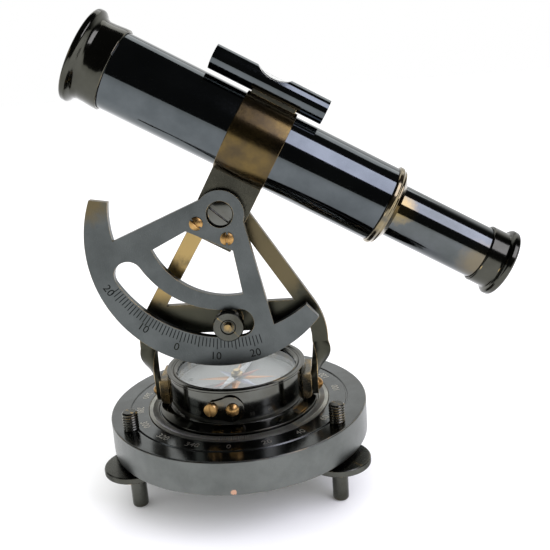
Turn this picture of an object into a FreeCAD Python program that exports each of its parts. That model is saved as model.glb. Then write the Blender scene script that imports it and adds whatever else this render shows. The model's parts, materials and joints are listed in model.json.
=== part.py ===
"""Desk theodolite: round base on three levelling screws, compass drum, A-frame and tilting telescope.

Frame: millimetres, +Z up, origin on the vertical (azimuth) axis at the level the feet stand on.
The compass lugs lie along X, the sector plate faces -Y and the objective end points to -X.
"""
import FreeCAD, Part
import math
import os
import re

from FreeCAD import Vector, Rotation, Placement

doc = FreeCAD.newDocument("Theodolite")
sheet = doc.addObject("Spreadsheet::Sheet", "Sizes")

SIZES = [
    # cutting tools run this far past the faces they cut
    ("overcut", 1.0),
    # compass
    ("drum_diameter", 53.8), ("flange_overhang", 3.9),
    ("flange_diameter", "=drum_diameter + 2 * flange_overhang"),
    ("flange_edge", 0.6), ("flange_neck", 0.6), ("flange_height", 1.9),
    ("drum_wall", 2.5), ("floor_thickness", 2.7),
    ("card_height", 5.5), ("card_ledge", 1.4), ("card_thickness", 0.6), ("seat_gap", 0.1),
    ("seat_ring_height", 3.9), ("seat_ring_wall", 1.5), ("glass_thickness", 1.0),
    ("keep_ring_height", 1.2), ("bezel_height", 0.8), ("bezel_width", 2.3),
    ("post_diameter", 2.4), ("post_rise", 0.6), ("post_point", 1.0), ("post_tip", 0.2),
    ("needle_end_gap", 3.9),
    ("needle_length", "=drum_diameter - 2 * (drum_wall + seat_ring_wall + needle_end_gap)"),
    ("needle_width", 4.2), ("needle_thickness", 0.4), ("needle_gap", 1.2), ("needle_heading", 70.0),
    ("hub_diameter", 4.6), ("hub_height", 2.0),
    # azimuth scale ring let into the base round the compass
    ("scale_gap", 0.7), ("scale_width", 3.8), ("scale_inner", "=flange_diameter + 2 * scale_gap"),
    ("scale_outer", "=scale_inner + 2 * scale_width"), ("scale_depth", 1.4), ("scale_proud", 0.12),
    # base and its levelling screws
    ("stud_diameter", 6.0), ("stud_gap", 5.9), ("stud_circle_inset", 5.8),
    ("base_diameter", "=scale_outer + 2 * stud_gap + stud_diameter + 2 * stud_circle_inset"),
    ("base_thickness", 12.7), ("base_bottom", 19.3), ("edge_round", 0.6),
    ("stud_standing", 7.0), ("foot_flat", 3.6), ("wheel_diameter", 23.5),
    ("wheel_thickness", 2.6), ("wheel_gap", 1.5), ("thread_gap", 0.06),
    ("groove_inset", 7.5), ("groove_diameter", "=base_diameter - 2 * groove_inset"),
    ("groove_width", 0.9), ("groove_depth", 0.5),
    # azimuth spindle
    ("spindle_diameter", 12.0), ("running_gap", 0.05), ("turn_gap", 0.3),
    ("thrust_diameter", 24.0), ("counterbore_diameter", 20.0), ("counterbore_depth", 2.6),
    ("keeper_diameter", 17.0), ("keeper_thickness", 0.8), ("keeper_screw", 4.0),
    ("keeper_head", 8.4), ("keeper_head_height", 1.0),
    # lugs and cover plate on the drum
    ("lug_projection", 2.4), ("lug_reach", "=drum_diameter / 2 + lug_projection"),
    ("lug_width", 16.0), ("lug_height", 9.8), ("lug_drop", 2.2), ("lug_round", 2.0),
    ("lug_screw_drop", 6.9), ("lug_screw_head", 4.8), ("lug_screw_dome", 1.9), ("lug_screw_shank", 3.0),
    ("lug_screw_depth", 2.0), ("screw_end_gap", 0.2),
    ("plate_thickness", 1.1), ("plate_big_radius", 4.9), ("plate_small_radius", 3.0),
    ("plate_screw_apart", 7.6), ("plate_turn", 6.0), ("plate_screw_head", 4.8), ("plate_screw_height", 1.5),
    ("plate_screw_stand", 0.12), ("plate_screw_rim", 0.5), ("plate_screw_shank", 1.8),
    ("plate_screw_depth", 1.6), ("plate_rise", 6.6),
    # pivot and sector
    ("bracket_thickness", 4.0), ("bracket_width", 19.0), ("bracket_drop", 11.8), ("sector_thickness", 2.8),
    ("layer_gap", 0.3), ("pivot_shank", 5.0), ("pivot_head", 9.0), ("pivot_head_height", 1.6),
    ("pivot_head_gap", 0.1), ("pivot_tail", 3.0), ("pivot_slot_width", 2.2), ("pivot_slot_depth", 0.8),
    ("pivot_slot_turn", 40.0), ("spacer_inset", 1.5), ("nut_inset", 2.3), ("nut_height", 2.4),
    ("head_clearance", 0.4), ("hub_hole", "=pivot_head + 2 * head_clearance"), ("hub_wall", 4.0),
    ("hub_radius", "=hub_hole / 2 + hub_wall"), ("hub_tangent_angle", 100.0), ("web_inset", 0.5),
    ("arc_offset", 11.28), ("arc_skew", 12.8), ("arc_radius", 47.5), ("rim_margin", 17.18),
    ("slot_radius", "=arc_offset + arc_radius - rim_margin"),
    ("clamp_boss_diameter", 9.0), ("boss_side_gap", 0.9), ("boss_gap", 0.4),
    ("slot_width", "=clamp_boss_diameter + 2 * boss_side_gap"),
    ("slot_half_angle", 32.4), ("slot_centre_angle", 3.0), ("rib_width", 6.4),
    ("horn_angle", 69.5), ("horn_step", 1.7), ("horn_shift", 2.5),
    ("horn_radius", "=slot_radius + horn_step"),
    ("notch_angle", 50.2), ("notch_skew", 1.2),
    ("window_left_top", 37.0), ("window_left_foot", 35.5), ("window_right_top", 45.0),
    ("window_right_foot", 41.2), ("window_skew", 1.0),
    ("sector_screw_side", 6.2), ("sector_screw_drop", 6.9), ("sector_screw_head", 4.9),
    ("sector_screw_dome", 1.5), ("sector_screw_shank", 2.4), ("sector_screw_length", 5.0),
    # A-frame
    ("sector_clearance", 2.12),
    ("pivot_rise", "=turn_gap + floor_thickness + card_height + card_thickness + seat_ring_height"
     " + glass_thickness + keep_ring_height + bezel_height / 2 + sector_clearance + arc_offset + arc_radius"),
    ("frame_thickness", 3.0), ("frame_front", 2.0), ("leg_width", 6.2),
    ("leg_offset", 4.1), ("leg_reach", "=lug_reach + leg_offset"), ("leg_straight", 1.1),
    ("leg_bow", 25.0), ("apex_radius", 7.8),
    ("tab_thickness", 2.4), ("tab_width", 8.0), ("tab_short", 2.8), ("twist_length", 14.0),
    ("twist_steps", 12),
    ("bar_top_gap", 0.1), ("bar_height", 11.4),
    # clamp screw
    ("clamp_shank", 4.0), ("clamp_knob_overlap", 0.4),
    ("clamp_knob_diameter", "=slot_width + 2 * clamp_knob_overlap"), ("clamp_knob_thickness", 3.6),
    ("clamp_knob_gap", 0.4), ("clamp_tip_diameter", 3.2), ("clamp_tip_length", 1.6),
    # telescope
    ("tilt", 30.0), ("tube_diameter", 28.0), ("tube_wall", 1.2), ("band_wall", 1.0), ("hub_gap", 4.8),
    ("axis_offset", "=tube_diameter / 2 + band_wall + hub_gap + hub_radius"),
    ("tube_front", 56.0), ("tube_back", 50.5), ("band_width", "=bracket_width"),
    ("cell_wall", 0.9), ("cell_diameter", "=tube_diameter + 2 * cell_wall"), ("cell_length", 11.8),
    ("cell_rim", 3.0), ("cell_flange", "=tube_diameter + 2 * cell_rim"), ("cell_flange_length", 3.0),
    ("cell_neck", 0.45), ("cell_waist", "=tube_diameter + 2 * cell_neck"), ("cell_neck_length", 1.2),
    ("cell_step", 1.0), ("cell_seat", 0.2), ("cell_overlap", 1.2), ("lens_gap", 0.3),
    ("lens_thickness", 3.0), ("lens_ring_wall", 1.7), ("lens_ring_length", 1.6),
    ("joint_rim", 0.8), ("joint_diameter", "=tube_diameter + 2 * joint_rim"), ("joint_length", 2.2),
    ("joint_chamfer", 0.6), ("joint_lip", 1.0), ("joint_plug_length", 6.0), ("cone_length", 2.6),
    ("guide_length", 18.0),
    ("draw_diameter", 19.6), ("draw_wall", 1.0),
    ("draw_visible", 41.0), ("draw_hidden", 34.0), ("slide_gap", 0.08),
    ("stop_inset", 3.0), ("stop_length", 2.0), ("stop_wall", 2.0),
    ("eye_wall", 0.9), ("eye_body", "=draw_diameter + 2 * eye_wall"), ("eye_body_length", 6.4),
    ("eye_rim", 2.7), ("eye_flange", "=draw_diameter + 2 * eye_rim"), ("eye_flange_length", 2.6),
    ("eye_step", 0.8), ("eye_step_inset", 0.3), ("eye_overlap", 5.8), ("eye_opening", 9.0),
    ("eye_lens_room", 1.8), ("eye_lens_thickness", 0.8), ("eye_lens_gap", 0.15),
    # spirit level
    ("level_diameter", 9.0), ("level_length", 43.5), ("level_gap", 0.3),
    ("level_height", "=tube_diameter / 2 + band_wall + level_gap + level_diameter / 2"),
    ("level_shift", 3.8), ("level_wall", 1.1), ("vial_gap", 0.1), ("vial_wall", 0.7),
    ("vial_end", 1.0), ("vial_length", 26.0), ("plug_length", 6.0), ("plug_inset", 0.6), ("plug_gap", 0.02),
    ("window_length", 13.0), ("window_depth", 2.4), ("bubble_length", 7.0), ("bubble_diameter", 2.2),
    ("bubble_rise", 0.6), ("saddle_width", 6.0),
    ("saddle_inset", 1.0), ("saddle_length", "=band_width - 2 * saddle_inset"), ("level_screw_diameter", 2.2),
]
for row, (alias, number) in enumerate(SIZES, start=1):
    sheet.set("A%d" % row, alias)
    sheet.set("B%d" % row, str(number))
    sheet.setAlias("B%d" % row, alias)
doc.recompute()
S = {alias: float(sheet.get(alias)) for alias, number in SIZES}

ALIAS = re.compile(r"\b(" + "|".join(sorted(S, key=len, reverse=True)) + r")\b")
PARTS = []


def bind(item, prop, text):
    """Bind a property to an expression written with bare size names."""
    item.setExpression(prop, ALIAS.sub(r"Sizes.\1", text))


def cylinder(radius, length, start="0"):
    """Cylinder along Z from start, sizes as expressions."""
    item = doc.addObject("Part::Cylinder", "Cylinder")
    bind(item, "Radius", radius)
    bind(item, "Height", length)
    bind(item, "Placement.Base.z", start)
    return item


def cone(radius_low, radius_high, length, start="0"):
    """Cone frustum along Z from start, sizes as expressions."""
    item = doc.addObject("Part::Cone", "Cone")
    bind(item, "Radius1", radius_low)
    bind(item, "Radius2", radius_high)
    bind(item, "Height", length)
    bind(item, "Placement.Base.z", start)
    return item


def box(size_x, size_y, size_z, low_x, low_y, low_z):
    """Box from its low corner, sizes and corner as expressions."""
    item = doc.addObject("Part::Box", "Box")
    bind(item, "Length", size_x)
    bind(item, "Width", size_y)
    bind(item, "Height", size_z)
    bind(item, "Placement.Base.x", low_x)
    bind(item, "Placement.Base.y", low_y)
    bind(item, "Placement.Base.z", low_z)
    return item


def dome(diameter, rise, start):
    """Cap of a sphere standing on the plane z = start: its chord is the diameter, its height the rise."""
    item = doc.addObject("Part::Sphere", "Dome")
    radius = "((%s)^2 / 4 + (%s)^2) / (2 * (%s))" % (diameter, rise, rise)
    bind(item, "Radius", radius)
    bind(item, "Placement.Base.z", "(%s) + (%s) - (%s)" % (start, rise, radius))
    keep = cylinder("(%s) / 2 + overcut" % diameter, "(%s) + overcut" % rise, start)
    both = doc.addObject("Part::Common", "DomeCap")
    both.Base = item
    both.Tool = keep
    return both


def fuse(*items):
    """Union of several solids."""
    if len(items) == 1:
        return items[0]
    item = doc.addObject("Part::MultiFuse", "Union")
    item.Shapes = list(items)
    item.Refine = True
    return item


def cut(base, *tools):
    """Base less each tool in turn."""
    for tool in tools:
        item = doc.addObject("Part::Cut", "Cut")
        item.Base = base
        item.Tool = tool
        base = item
    return base


def part(label, item, placement=Placement()):
    """Name a finished piece and put it in its place, over the piece's own local position."""
    item.Label = label
    if not placement.isIdentity():
        for path, _ in list(item.ExpressionEngine):
            if path.startswith("Placement") or path.startswith(".Placement"):
                item.setExpression(path, None)
        item.Placement = placement.multiply(item.Placement)
    PARTS.append(item)
    return item


def solid_part(label, shape):
    """A piece whose outline needs computed arcs or lofts."""
    item = doc.addObject("Part::Feature", "Shaped")
    item.Shape = shape
    item.Label = label
    PARTS.append(item)
    return item


def at(x, y, z, turn=Rotation()):
    """Placement at a point with an optional turn."""
    return Placement(Vector(x, y, z), turn)


def disc_shape(radius, length, point, direction):
    """Plain cylinder shape from a point along a direction."""
    return Part.makeCylinder(radius, length, point, direction)


# ---------------------------------------------------------------- levels that several pieces share
base_top = S["base_bottom"] + S["base_thickness"]
housing_bottom = base_top + S["turn_gap"]
drum_foot = housing_bottom + S["flange_height"]
floor_top = housing_bottom + S["floor_thickness"]
card_bottom = floor_top + S["card_height"]
card_top = card_bottom + S["card_thickness"]
glass_bottom = card_top + S["seat_ring_height"]
glass_top = glass_bottom + S["glass_thickness"]
wall_top = glass_top + S["keep_ring_height"] - S["bezel_height"] / 2
BASE_TOP = "(base_bottom + base_thickness)"
HOUSING = "(base_bottom + base_thickness + turn_gap)"
FLOOR_TOP = "(base_bottom + base_thickness + turn_gap + floor_thickness)"
CARD_LOW = "(base_bottom + base_thickness + turn_gap + floor_thickness + card_height)"
CARD_TOP = "(base_bottom + base_thickness + turn_gap + floor_thickness + card_height + card_thickness)"
GLASS_LOW = CARD_TOP[:-1] + " + seat_ring_height)"
GLASS_TOP = CARD_TOP[:-1] + " + seat_ring_height + glass_thickness)"
WALL_TOP = GLASS_TOP[:-1] + " + keep_ring_height - bezel_height / 2)"
CAVITY = "(drum_diameter / 2 - drum_wall)"

# ---------------------------------------------------------------- base
stud_circle = S["base_diameter"] / 2 - S["stud_circle_inset"]
stud_points = {
    name: Vector(stud_circle * math.cos(math.radians(angle)), stud_circle * math.sin(math.radians(angle)), 0)
    for name, angle in (("front_left", 210), ("front_right", 330), ("back", 90))
}
body = cylinder("base_diameter / 2", "base_thickness", "base_bottom")
tools = [
    cylinder("spindle_diameter / 2 + running_gap", "base_thickness + 2 * overcut", "base_bottom - overcut"),
    cylinder("counterbore_diameter / 2", "counterbore_depth + overcut", "base_bottom - overcut"),
    cut(
        cylinder("scale_outer / 2 + seat_gap", "scale_depth + overcut", BASE_TOP + " - scale_depth"),
        cylinder("scale_inner / 2 - seat_gap", "scale_depth + 2 * overcut", BASE_TOP + " - scale_depth"),
    ),
    cut(
        cylinder("groove_diameter / 2 + groove_width / 2", "groove_depth + overcut",
                 BASE_TOP + " - groove_depth"),
        cylinder("groove_diameter / 2 - groove_width / 2", "groove_depth + 2 * overcut",
                 BASE_TOP + " - groove_depth"),
    ),
]
for name, point in stud_points.items():
    hole = cylinder("stud_diameter / 2 + thread_gap", "base_thickness + 2 * overcut", "base_bottom - overcut")
    hole.Placement.Base.x = point.x
    hole.Placement.Base.y = point.y
    tools.append(hole)
doc.recompute()
blank = cut(body, *tools)
doc.recompute()
rounded = doc.addObject("Part::Fillet", "EdgeRound")
rounded.Base = blank
rim_edges = []
for number, edge in enumerate(blank.Shape.Edges, start=1):
    curve = edge.Curve
    if isinstance(curve, Part.Circle) and abs(curve.Radius - S["base_diameter"] / 2) < 1e-6:
        rim_edges.append((number, S["edge_round"], S["edge_round"]))
rounded.Edges = rim_edges
part("base_plate", rounded)

part("azimuth_scale_ring", cut(
    cylinder("scale_outer / 2", "scale_depth + scale_proud", BASE_TOP + " - scale_depth"),
    cylinder("scale_inner / 2", "scale_depth + scale_proud + 2 * overcut",
             BASE_TOP + " - scale_depth - overcut"),
))
part("thrust_washer", cut(
    cylinder("thrust_diameter / 2", "turn_gap", BASE_TOP),
    cylinder("spindle_diameter / 2 + running_gap", "turn_gap + 2 * overcut", BASE_TOP + " - overcut"),
))

# ---------------------------------------------------------------- levelling screws, three alike
WHEEL_LOW = "(base_bottom - wheel_gap - wheel_thickness)"
for name, point in stud_points.items():
    place = at(point.x, point.y, 0)
    taper = cone("foot_flat / 2", "stud_diameter / 2", "(stud_diameter - foot_flat) / 2", "0")
    shaft = cylinder(
        "stud_diameter / 2",
        "base_bottom + base_thickness + stud_standing - (stud_diameter - foot_flat) / 2",
        "(stud_diameter - foot_flat) / 2",
    )
    part("levelling_screw_" + name, fuse(taper, shaft), place)
    part("levelling_wheel_" + name, cut(
        cylinder("wheel_diameter / 2", "wheel_thickness", WHEEL_LOW),
        cylinder("stud_diameter / 2", "wheel_thickness + 2 * overcut", WHEEL_LOW + " - overcut"),
    ), place)

# ---------------------------------------------------------------- azimuth spindle and its keeper
SPINDLE_LOW = "(base_bottom + counterbore_depth - turn_gap)"
part("azimuth_spindle", cut(
    cylinder("spindle_diameter / 2", HOUSING + " - " + SPINDLE_LOW, SPINDLE_LOW),
    cylinder("keeper_screw / 2 + running_gap", HOUSING + " - " + SPINDLE_LOW + " + 2 * overcut",
             SPINDLE_LOW + " - overcut"),
))
part("keeper_washer", cut(
    cylinder("keeper_diameter / 2", "keeper_thickness", SPINDLE_LOW + " - keeper_thickness"),
    cylinder("keeper_screw / 2 + running_gap", "keeper_thickness + 2 * overcut",
             SPINDLE_LOW + " - keeper_thickness - overcut"),
))
KEEPER_FACE = "(base_bottom + counterbore_depth - turn_gap - keeper_thickness)"
part("keeper_screw_centre", fuse(
    cylinder("keeper_head / 2", "keeper_head_height", KEEPER_FACE + " - keeper_head_height"),
    cylinder("keeper_screw / 2", HOUSING + " + floor_thickness / 2 - " + KEEPER_FACE, KEEPER_FACE),
))

# ---------------------------------------------------------------- compass housing and what it holds
flange = fuse(
    cylinder("flange_diameter / 2", "flange_edge", HOUSING),
    cone("flange_diameter / 2", "drum_diameter / 2 + flange_neck", "flange_height - flange_edge",
         HOUSING + " + flange_edge"),
    cylinder("drum_diameter / 2", WALL_TOP + " - " + HOUSING, HOUSING),
)
housing_tools = [
    cylinder(CAVITY + " - card_ledge", WALL_TOP, FLOOR_TOP),
    cylinder(CAVITY, WALL_TOP, CARD_LOW),
    cylinder("keeper_screw / 2 + running_gap", "overcut + floor_thickness / 2", HOUSING + " - overcut"),
]


def radial_hole(diameter, depth, from_radius, angle, height):
    """Bored hole pointing at the vertical axis from outside a radius."""
    item = cylinder(diameter, depth)
    doc.recompute()
    item.setExpression("Placement.Base.z", None)
    out = Vector(math.cos(math.radians(angle)), math.sin(math.radians(angle)), 0)
    start = out * from_radius + Vector(0, 0, height)
    item.Placement = Placement(start, Rotation(Vector(0, 0, 1), out * -1))
    return item


plate_height = drum_foot + S["plate_rise"]
plate_axis_angles = {}
half_apart = math.degrees(S["plate_screw_apart"] / S["drum_diameter"])
for name, side in (("slotted", -1), ("domed", 1)):
    plate_axis_angles[name] = 270 - S["plate_turn"] + side * half_apart
for name, angle in plate_axis_angles.items():
    housing_tools.append(radial_hole(
        "plate_screw_shank / 2 + running_gap", "plate_screw_depth + overcut",
        S["drum_diameter"] / 2 + S["overcut"] / 2, angle, plate_height))
part("compass_housing", cut(flange, *housing_tools))

part("compass_card", cut(
    cylinder(CAVITY + " - seat_gap", "card_thickness", CARD_LOW),
    cylinder("post_diameter / 2 + seat_gap", "card_thickness + 2 * overcut", CARD_LOW + " - overcut"),
))
part("needle_post", fuse(
    cylinder("post_diameter / 2", "card_height + card_thickness + post_rise", FLOOR_TOP),
    cone("post_diameter / 2", "post_tip / 2", "post_point", CARD_TOP + " + post_rise"),
))
part("glass_seat_ring", cut(
    cylinder(CAVITY + " - seat_gap", "seat_ring_height", CARD_TOP),
    cylinder(CAVITY + " - seat_ring_wall", "seat_ring_height + 2 * overcut", CARD_TOP + " - overcut"),
))
part("compass_glass", cylinder(CAVITY + " - seat_gap", "glass_thickness", GLASS_LOW))
part("glass_keep_ring", cut(
    cylinder(CAVITY + " - seat_gap", "keep_ring_height", GLASS_TOP),
    cylinder(CAVITY + " - seat_ring_wall", "keep_ring_height + 2 * overcut", GLASS_TOP + " - overcut"),
))
part("compass_bezel", cut(
    cylinder("drum_diameter / 2", "bezel_height", WALL_TOP),
    cylinder("drum_diameter / 2 - bezel_width", "bezel_height + 2 * overcut", WALL_TOP + " - overcut"),
))

# ---------------------------------------------------------------- needle, free on its post
needle_low = card_top + S["needle_gap"]
half_length = S["needle_length"] / 2
half_width = S["needle_width"] / 2
needle_corners = [
    Vector(-half_length, 0, needle_low), Vector(0, -half_width, needle_low),
    Vector(half_length, 0, needle_low), Vector(0, half_width, needle_low),
]
needle_face = Part.Face(Part.makePolygon(needle_corners + needle_corners[:1]))
needle_blade = needle_face.extrude(Vector(0, 0, S["needle_thickness"]))
hub_bore_radius = S["post_diameter"] / 2 + S["turn_gap"]
needle_blade = needle_blade.cut(disc_shape(hub_bore_radius, 2 * card_top, Vector(0, 0, 0), Vector(0, 0, 1)))
needle_blade.rotate(Vector(0, 0, 0), Vector(0, 0, 1), S["needle_heading"])
solid_part("compass_needle", needle_blade)
part("needle_cap", cut(
    fuse(
        cylinder("hub_diameter / 2", "hub_height / 2", CARD_TOP + " + needle_gap + needle_thickness"),
        cone("hub_diameter / 2", "hub_diameter / 4", "hub_height / 2",
             CARD_TOP + " + needle_gap + needle_thickness + hub_height / 2"),
    ),
    cylinder("post_diameter / 2 + turn_gap", "hub_height / 2 + overcut",
             CARD_TOP + " + needle_gap + needle_thickness - overcut"),
))

# ---------------------------------------------------------------- lugs and their domed screws
frame_mid = -S["frame_front"] + S["frame_thickness"] / 2
lug_top = wall_top - S["lug_drop"]
lug_screw_height = lug_top - S["lug_screw_drop"]
for name, side in (("left", -1), ("right", 1)):
    block = Part.makeBox(S["lug_reach"], S["lug_width"], S["lug_height"],
                         Vector(0, -S["lug_width"] / 2, lug_top - S["lug_height"]))
    block = block.cut(disc_shape(S["drum_diameter"] / 2, 2 * lug_top, Vector(0, 0, 0), Vector(0, 0, 1)))
    low_edges = []
    for edge in block.Edges:
        box_of = edge.BoundBox
        if box_of.XMin > S["lug_reach"] - 1e-3 and box_of.ZMax < lug_top - S["lug_height"] + 1e-3:
            low_edges.append(edge)
    block = block.makeFillet(S["lug_round"], low_edges)
    bore = disc_shape(S["lug_screw_shank"] / 2 + S["running_gap"], S["lug_screw_depth"] + S["overcut"],
                      Vector(S["lug_reach"] - S["lug_screw_depth"], frame_mid, lug_screw_height),
                      Vector(1, 0, 0))
    block = block.cut(bore)
    if side < 0:
        block = block.mirror(Vector(0, 0, 0), Vector(1, 0, 0))
    solid_part(name + "_lug", block)
    face = S["lug_reach"] + S["tab_thickness"]
    turn = Rotation(Vector(0, 0, 1), Vector(side, 0, 0))
    part(name + "_lug_screw", fuse(
        dome("lug_screw_head", "lug_screw_dome", "0"),
        cylinder("lug_screw_shank / 2", "tab_thickness + lug_screw_depth - screw_end_gap",
                 "-(tab_thickness + lug_screw_depth - screw_end_gap)"),
    ), at(side * face, frame_mid, lug_screw_height, turn))

# ---------------------------------------------------------------- cover plate on the drum, with two screws
def around(angle, radius, height):
    """Point at an angle round the vertical axis."""
    return Vector(radius * math.cos(math.radians(angle)), radius * math.sin(math.radians(angle)), height)


outer_skin = S["drum_diameter"] / 2
plate_skin = outer_skin + S["plate_thickness"]
middle_angle = 270 - S["plate_turn"]
outward = around(middle_angle, 1, 0)
rise = Vector(0, 0, 1)
plate_bottom = Vector(0, 0, plate_height - S["plate_big_radius"] - S["overcut"])
plate_reach = 2 * (S["plate_big_radius"] + S["overcut"])
shell = disc_shape(plate_skin, plate_reach, plate_bottom, rise)
shell = shell.cut(disc_shape(outer_skin, plate_reach, plate_bottom, rise))
inside = outer_skin - S["plate_big_radius"]
blank_depth = 2 * S["plate_big_radius"] + S["plate_thickness"]
start = around(plate_axis_angles["slotted"], inside, plate_height)
finish = around(plate_axis_angles["domed"], inside, plate_height)
big = disc_shape(S["plate_big_radius"], blank_depth, finish, outward)
small = disc_shape(S["plate_small_radius"], blank_depth, start, outward)
ring_points = [
    start - rise * S["plate_small_radius"], finish - rise * S["plate_big_radius"],
    finish + rise * S["plate_big_radius"], start + rise * S["plate_small_radius"],
]
neck = Part.Face(Part.makePolygon(ring_points + ring_points[:1])).extrude(outward * blank_depth)
pear = big.fuse(small).fuse(neck).common(shell)
for name, angle in plate_axis_angles.items():
    pear = pear.cut(disc_shape(S["plate_screw_shank"] / 2 + S["running_gap"], blank_depth,
                               around(angle, plate_skin + S["overcut"], plate_height), around(angle, -1, 0)))
pear = pear.removeSplitter()
solid_part("cover_plate", pear.Solids[0])
for name, angle in plate_axis_angles.items():
    turn = Rotation(Vector(0, 0, 1), around(angle, 1, 0))
    head = cylinder("plate_screw_head / 2", "plate_screw_height", "plate_screw_stand")
    if name == "domed":
        head = fuse(cylinder("plate_screw_head / 2", "plate_screw_rim", "plate_screw_stand"),
                    dome("plate_screw_head", "plate_screw_height", "plate_screw_stand + plate_screw_rim"))
    part(name + "_plate_screw", fuse(
        head,
        cylinder("plate_screw_shank / 2", "plate_thickness + plate_screw_depth + plate_screw_stand",
                 "-(plate_thickness + plate_screw_depth)"),
    ), at(*around(angle, plate_skin, plate_height), turn))

# ---------------------------------------------------------------- A-frame with its crossbar
pivot_z = base_top + S["pivot_rise"]
tab_top = lug_top - S["tab_short"]
twist_top = tab_top + S["twist_length"]
bar_top = pivot_z - S["slot_radius"] + S["bar_height"] / 2 + S["bar_top_gap"]
bow_centre = Vector(S["leg_reach"] - S["leg_bow"], 0, twist_top + S["leg_straight"])
half_leg = S["leg_width"] / 2
# the straight part leaves the bow tangentially and runs past the pivot at this distance from it
pivot_miss = S["apex_radius"] - half_leg
climb = pivot_z - bow_centre.z
reach_back = math.hypot(bow_centre.x, climb)
lean = math.atan2(bow_centre.x, climb) + math.asin((S["leg_bow"] - pivot_miss) / reach_back)
along_leg = Vector(-math.sin(lean), 0, math.cos(lean))


def bow_point(radius, angle):
    """Point on the leg's bow, angle from +X in radians."""
    return bow_centre + Vector(radius * math.cos(angle), 0, radius * math.sin(angle))


def leg_outline():
    """Closed outline of one leg in the XZ plane: straight foot, bow and leaning straight."""
    outer_radius = S["leg_bow"] + half_leg
    inner_radius = S["leg_bow"] - half_leg
    reach = (Vector(0, 0, pivot_z) - bow_point(S["leg_bow"], lean)).dot(along_leg)
    foot_outer = Vector(bow_centre.x + outer_radius, 0, twist_top)
    foot_inner = Vector(bow_centre.x + inner_radius, 0, twist_top)
    top_outer = bow_point(outer_radius, lean) + along_leg * reach
    top_inner = bow_point(inner_radius, lean) + along_leg * reach
    edges = []
    for radius, foot in ((outer_radius, foot_outer), (inner_radius, foot_inner)):
        start_point = bow_point(radius, 0)
        arc = Part.Arc(start_point, bow_point(radius, lean / 2), bow_point(radius, lean)).toShape()
        end_point = bow_point(radius, lean) + along_leg * reach
        edges += [Part.makeLine(foot, start_point), arc, Part.makeLine(bow_point(radius, lean), end_point)]
    edges += [Part.makeLine(foot_outer, foot_inner), Part.makeLine(top_outer, top_inner)]
    return Part.Face(Part.Wire(Part.__sortEdges__(edges)))


def frame_leg():
    """One leg: upright plate, the part where it turns, and the flat tab on the lug."""
    face = leg_outline()
    face.translate(Vector(0, -S["frame_front"], 0))
    plate = face.extrude(Vector(0, S["frame_thickness"], 0))

    def section(turned):
        """Cross-section of the leg after this share of its quarter turn, its inner edge nearly straight."""
        eased = turned * turned * (3 - 2 * turned)
        angle = math.pi / 2 * turned
        broad = Vector(math.sin(angle), math.cos(angle), 0)
        narrow = Vector(math.cos(angle), -math.sin(angle), 0)
        broad *= (S["tab_width"] * (1 - eased) + S["leg_width"] * eased) / 2
        narrow *= (S["tab_thickness"] * (1 - eased) + S["frame_thickness"] * eased) / 2
        inner_edge = S["lug_reach"] * (1 - eased) + (S["leg_reach"] - half_leg) * eased
        middle = Vector(inner_edge + broad.x + narrow.x, frame_mid,
                        tab_top * (1 - turned) + twist_top * turned)
        corners = [middle + broad + narrow, middle + broad - narrow,
                   middle - broad - narrow, middle - broad + narrow]
        return Part.makePolygon(corners + corners[:1])

    tab_low = lug_screw_height
    steps = int(S["twist_steps"])
    twist = Part.makeLoft([section(step / steps) for step in range(steps + 1)], True, False)
    tab = Part.makeBox(S["tab_thickness"], S["tab_width"], tab_top - tab_low,
                       Vector(S["lug_reach"], frame_mid - S["tab_width"] / 2, tab_low))
    end = disc_shape(S["tab_width"] / 2, S["tab_thickness"], Vector(S["lug_reach"], frame_mid, tab_low),
                     Vector(1, 0, 0))
    bore = disc_shape(S["lug_screw_shank"] / 2 + S["running_gap"], S["tab_thickness"] + 2 * S["overcut"],
                      Vector(S["lug_reach"] - S["overcut"], frame_mid, tab_low), Vector(1, 0, 0))
    return plate.fuse(twist).fuse(tab.fuse(end).cut(bore))


clamp_height = pivot_z - S["slot_radius"]
right_leg = frame_leg()
left_leg = right_leg.mirror(Vector(0, 0, 0), Vector(1, 0, 0))
apex = disc_shape(S["apex_radius"], S["frame_thickness"], Vector(0, -S["frame_front"], pivot_z),
                  Vector(0, 1, 0))
bar_half = bow_centre.x + S["leg_bow"]
bar = Part.makeBox(2 * bar_half, S["frame_thickness"], S["bar_height"],
                   Vector(-bar_half, -S["frame_front"], bar_top - S["bar_height"]))
inside_edge = []
for side in (1, -1):
    cutter_centre = Vector(side * bow_centre.x, -S["frame_front"] - S["overcut"], bow_centre.z)
    keep_disc = disc_shape(S["leg_bow"], S["frame_thickness"] + 2 * S["overcut"], cutter_centre,
                           Vector(0, 1, 0))
    inside_edge.append(keep_disc)
middle_box = Part.makeBox(2 * bow_centre.x, S["frame_thickness"] + 2 * S["overcut"], pivot_z,
                          Vector(-bow_centre.x, -S["frame_front"] - S["overcut"], 0))
bar = bar.common(inside_edge[0].fuse(inside_edge[1]).fuse(middle_box))
boss_length = S["layer_gap"] + S["bracket_thickness"] - S["boss_gap"]
boss = disc_shape(S["clamp_boss_diameter"] / 2, boss_length, Vector(0, -S["frame_front"], clamp_height),
                  Vector(0, -1, 0))
frame_shape = right_leg.fuse([left_leg, apex, bar, boss])
frame_back = S["frame_thickness"] - S["frame_front"] + S["overcut"]
frame_depth = S["frame_thickness"] + boss_length + 2 * S["overcut"]
for bore_radius, height in ((S["clamp_shank"] / 2 + S["thread_gap"], clamp_height),
                            (S["pivot_shank"] / 2 + S["running_gap"], pivot_z)):
    frame_shape = frame_shape.cut(disc_shape(bore_radius, frame_depth, Vector(0, frame_back, height),
                                             Vector(0, -1, 0)))
frame_shape = frame_shape.removeSplitter()
solid_part("a_frame", frame_shape.Solids[0])

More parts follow.
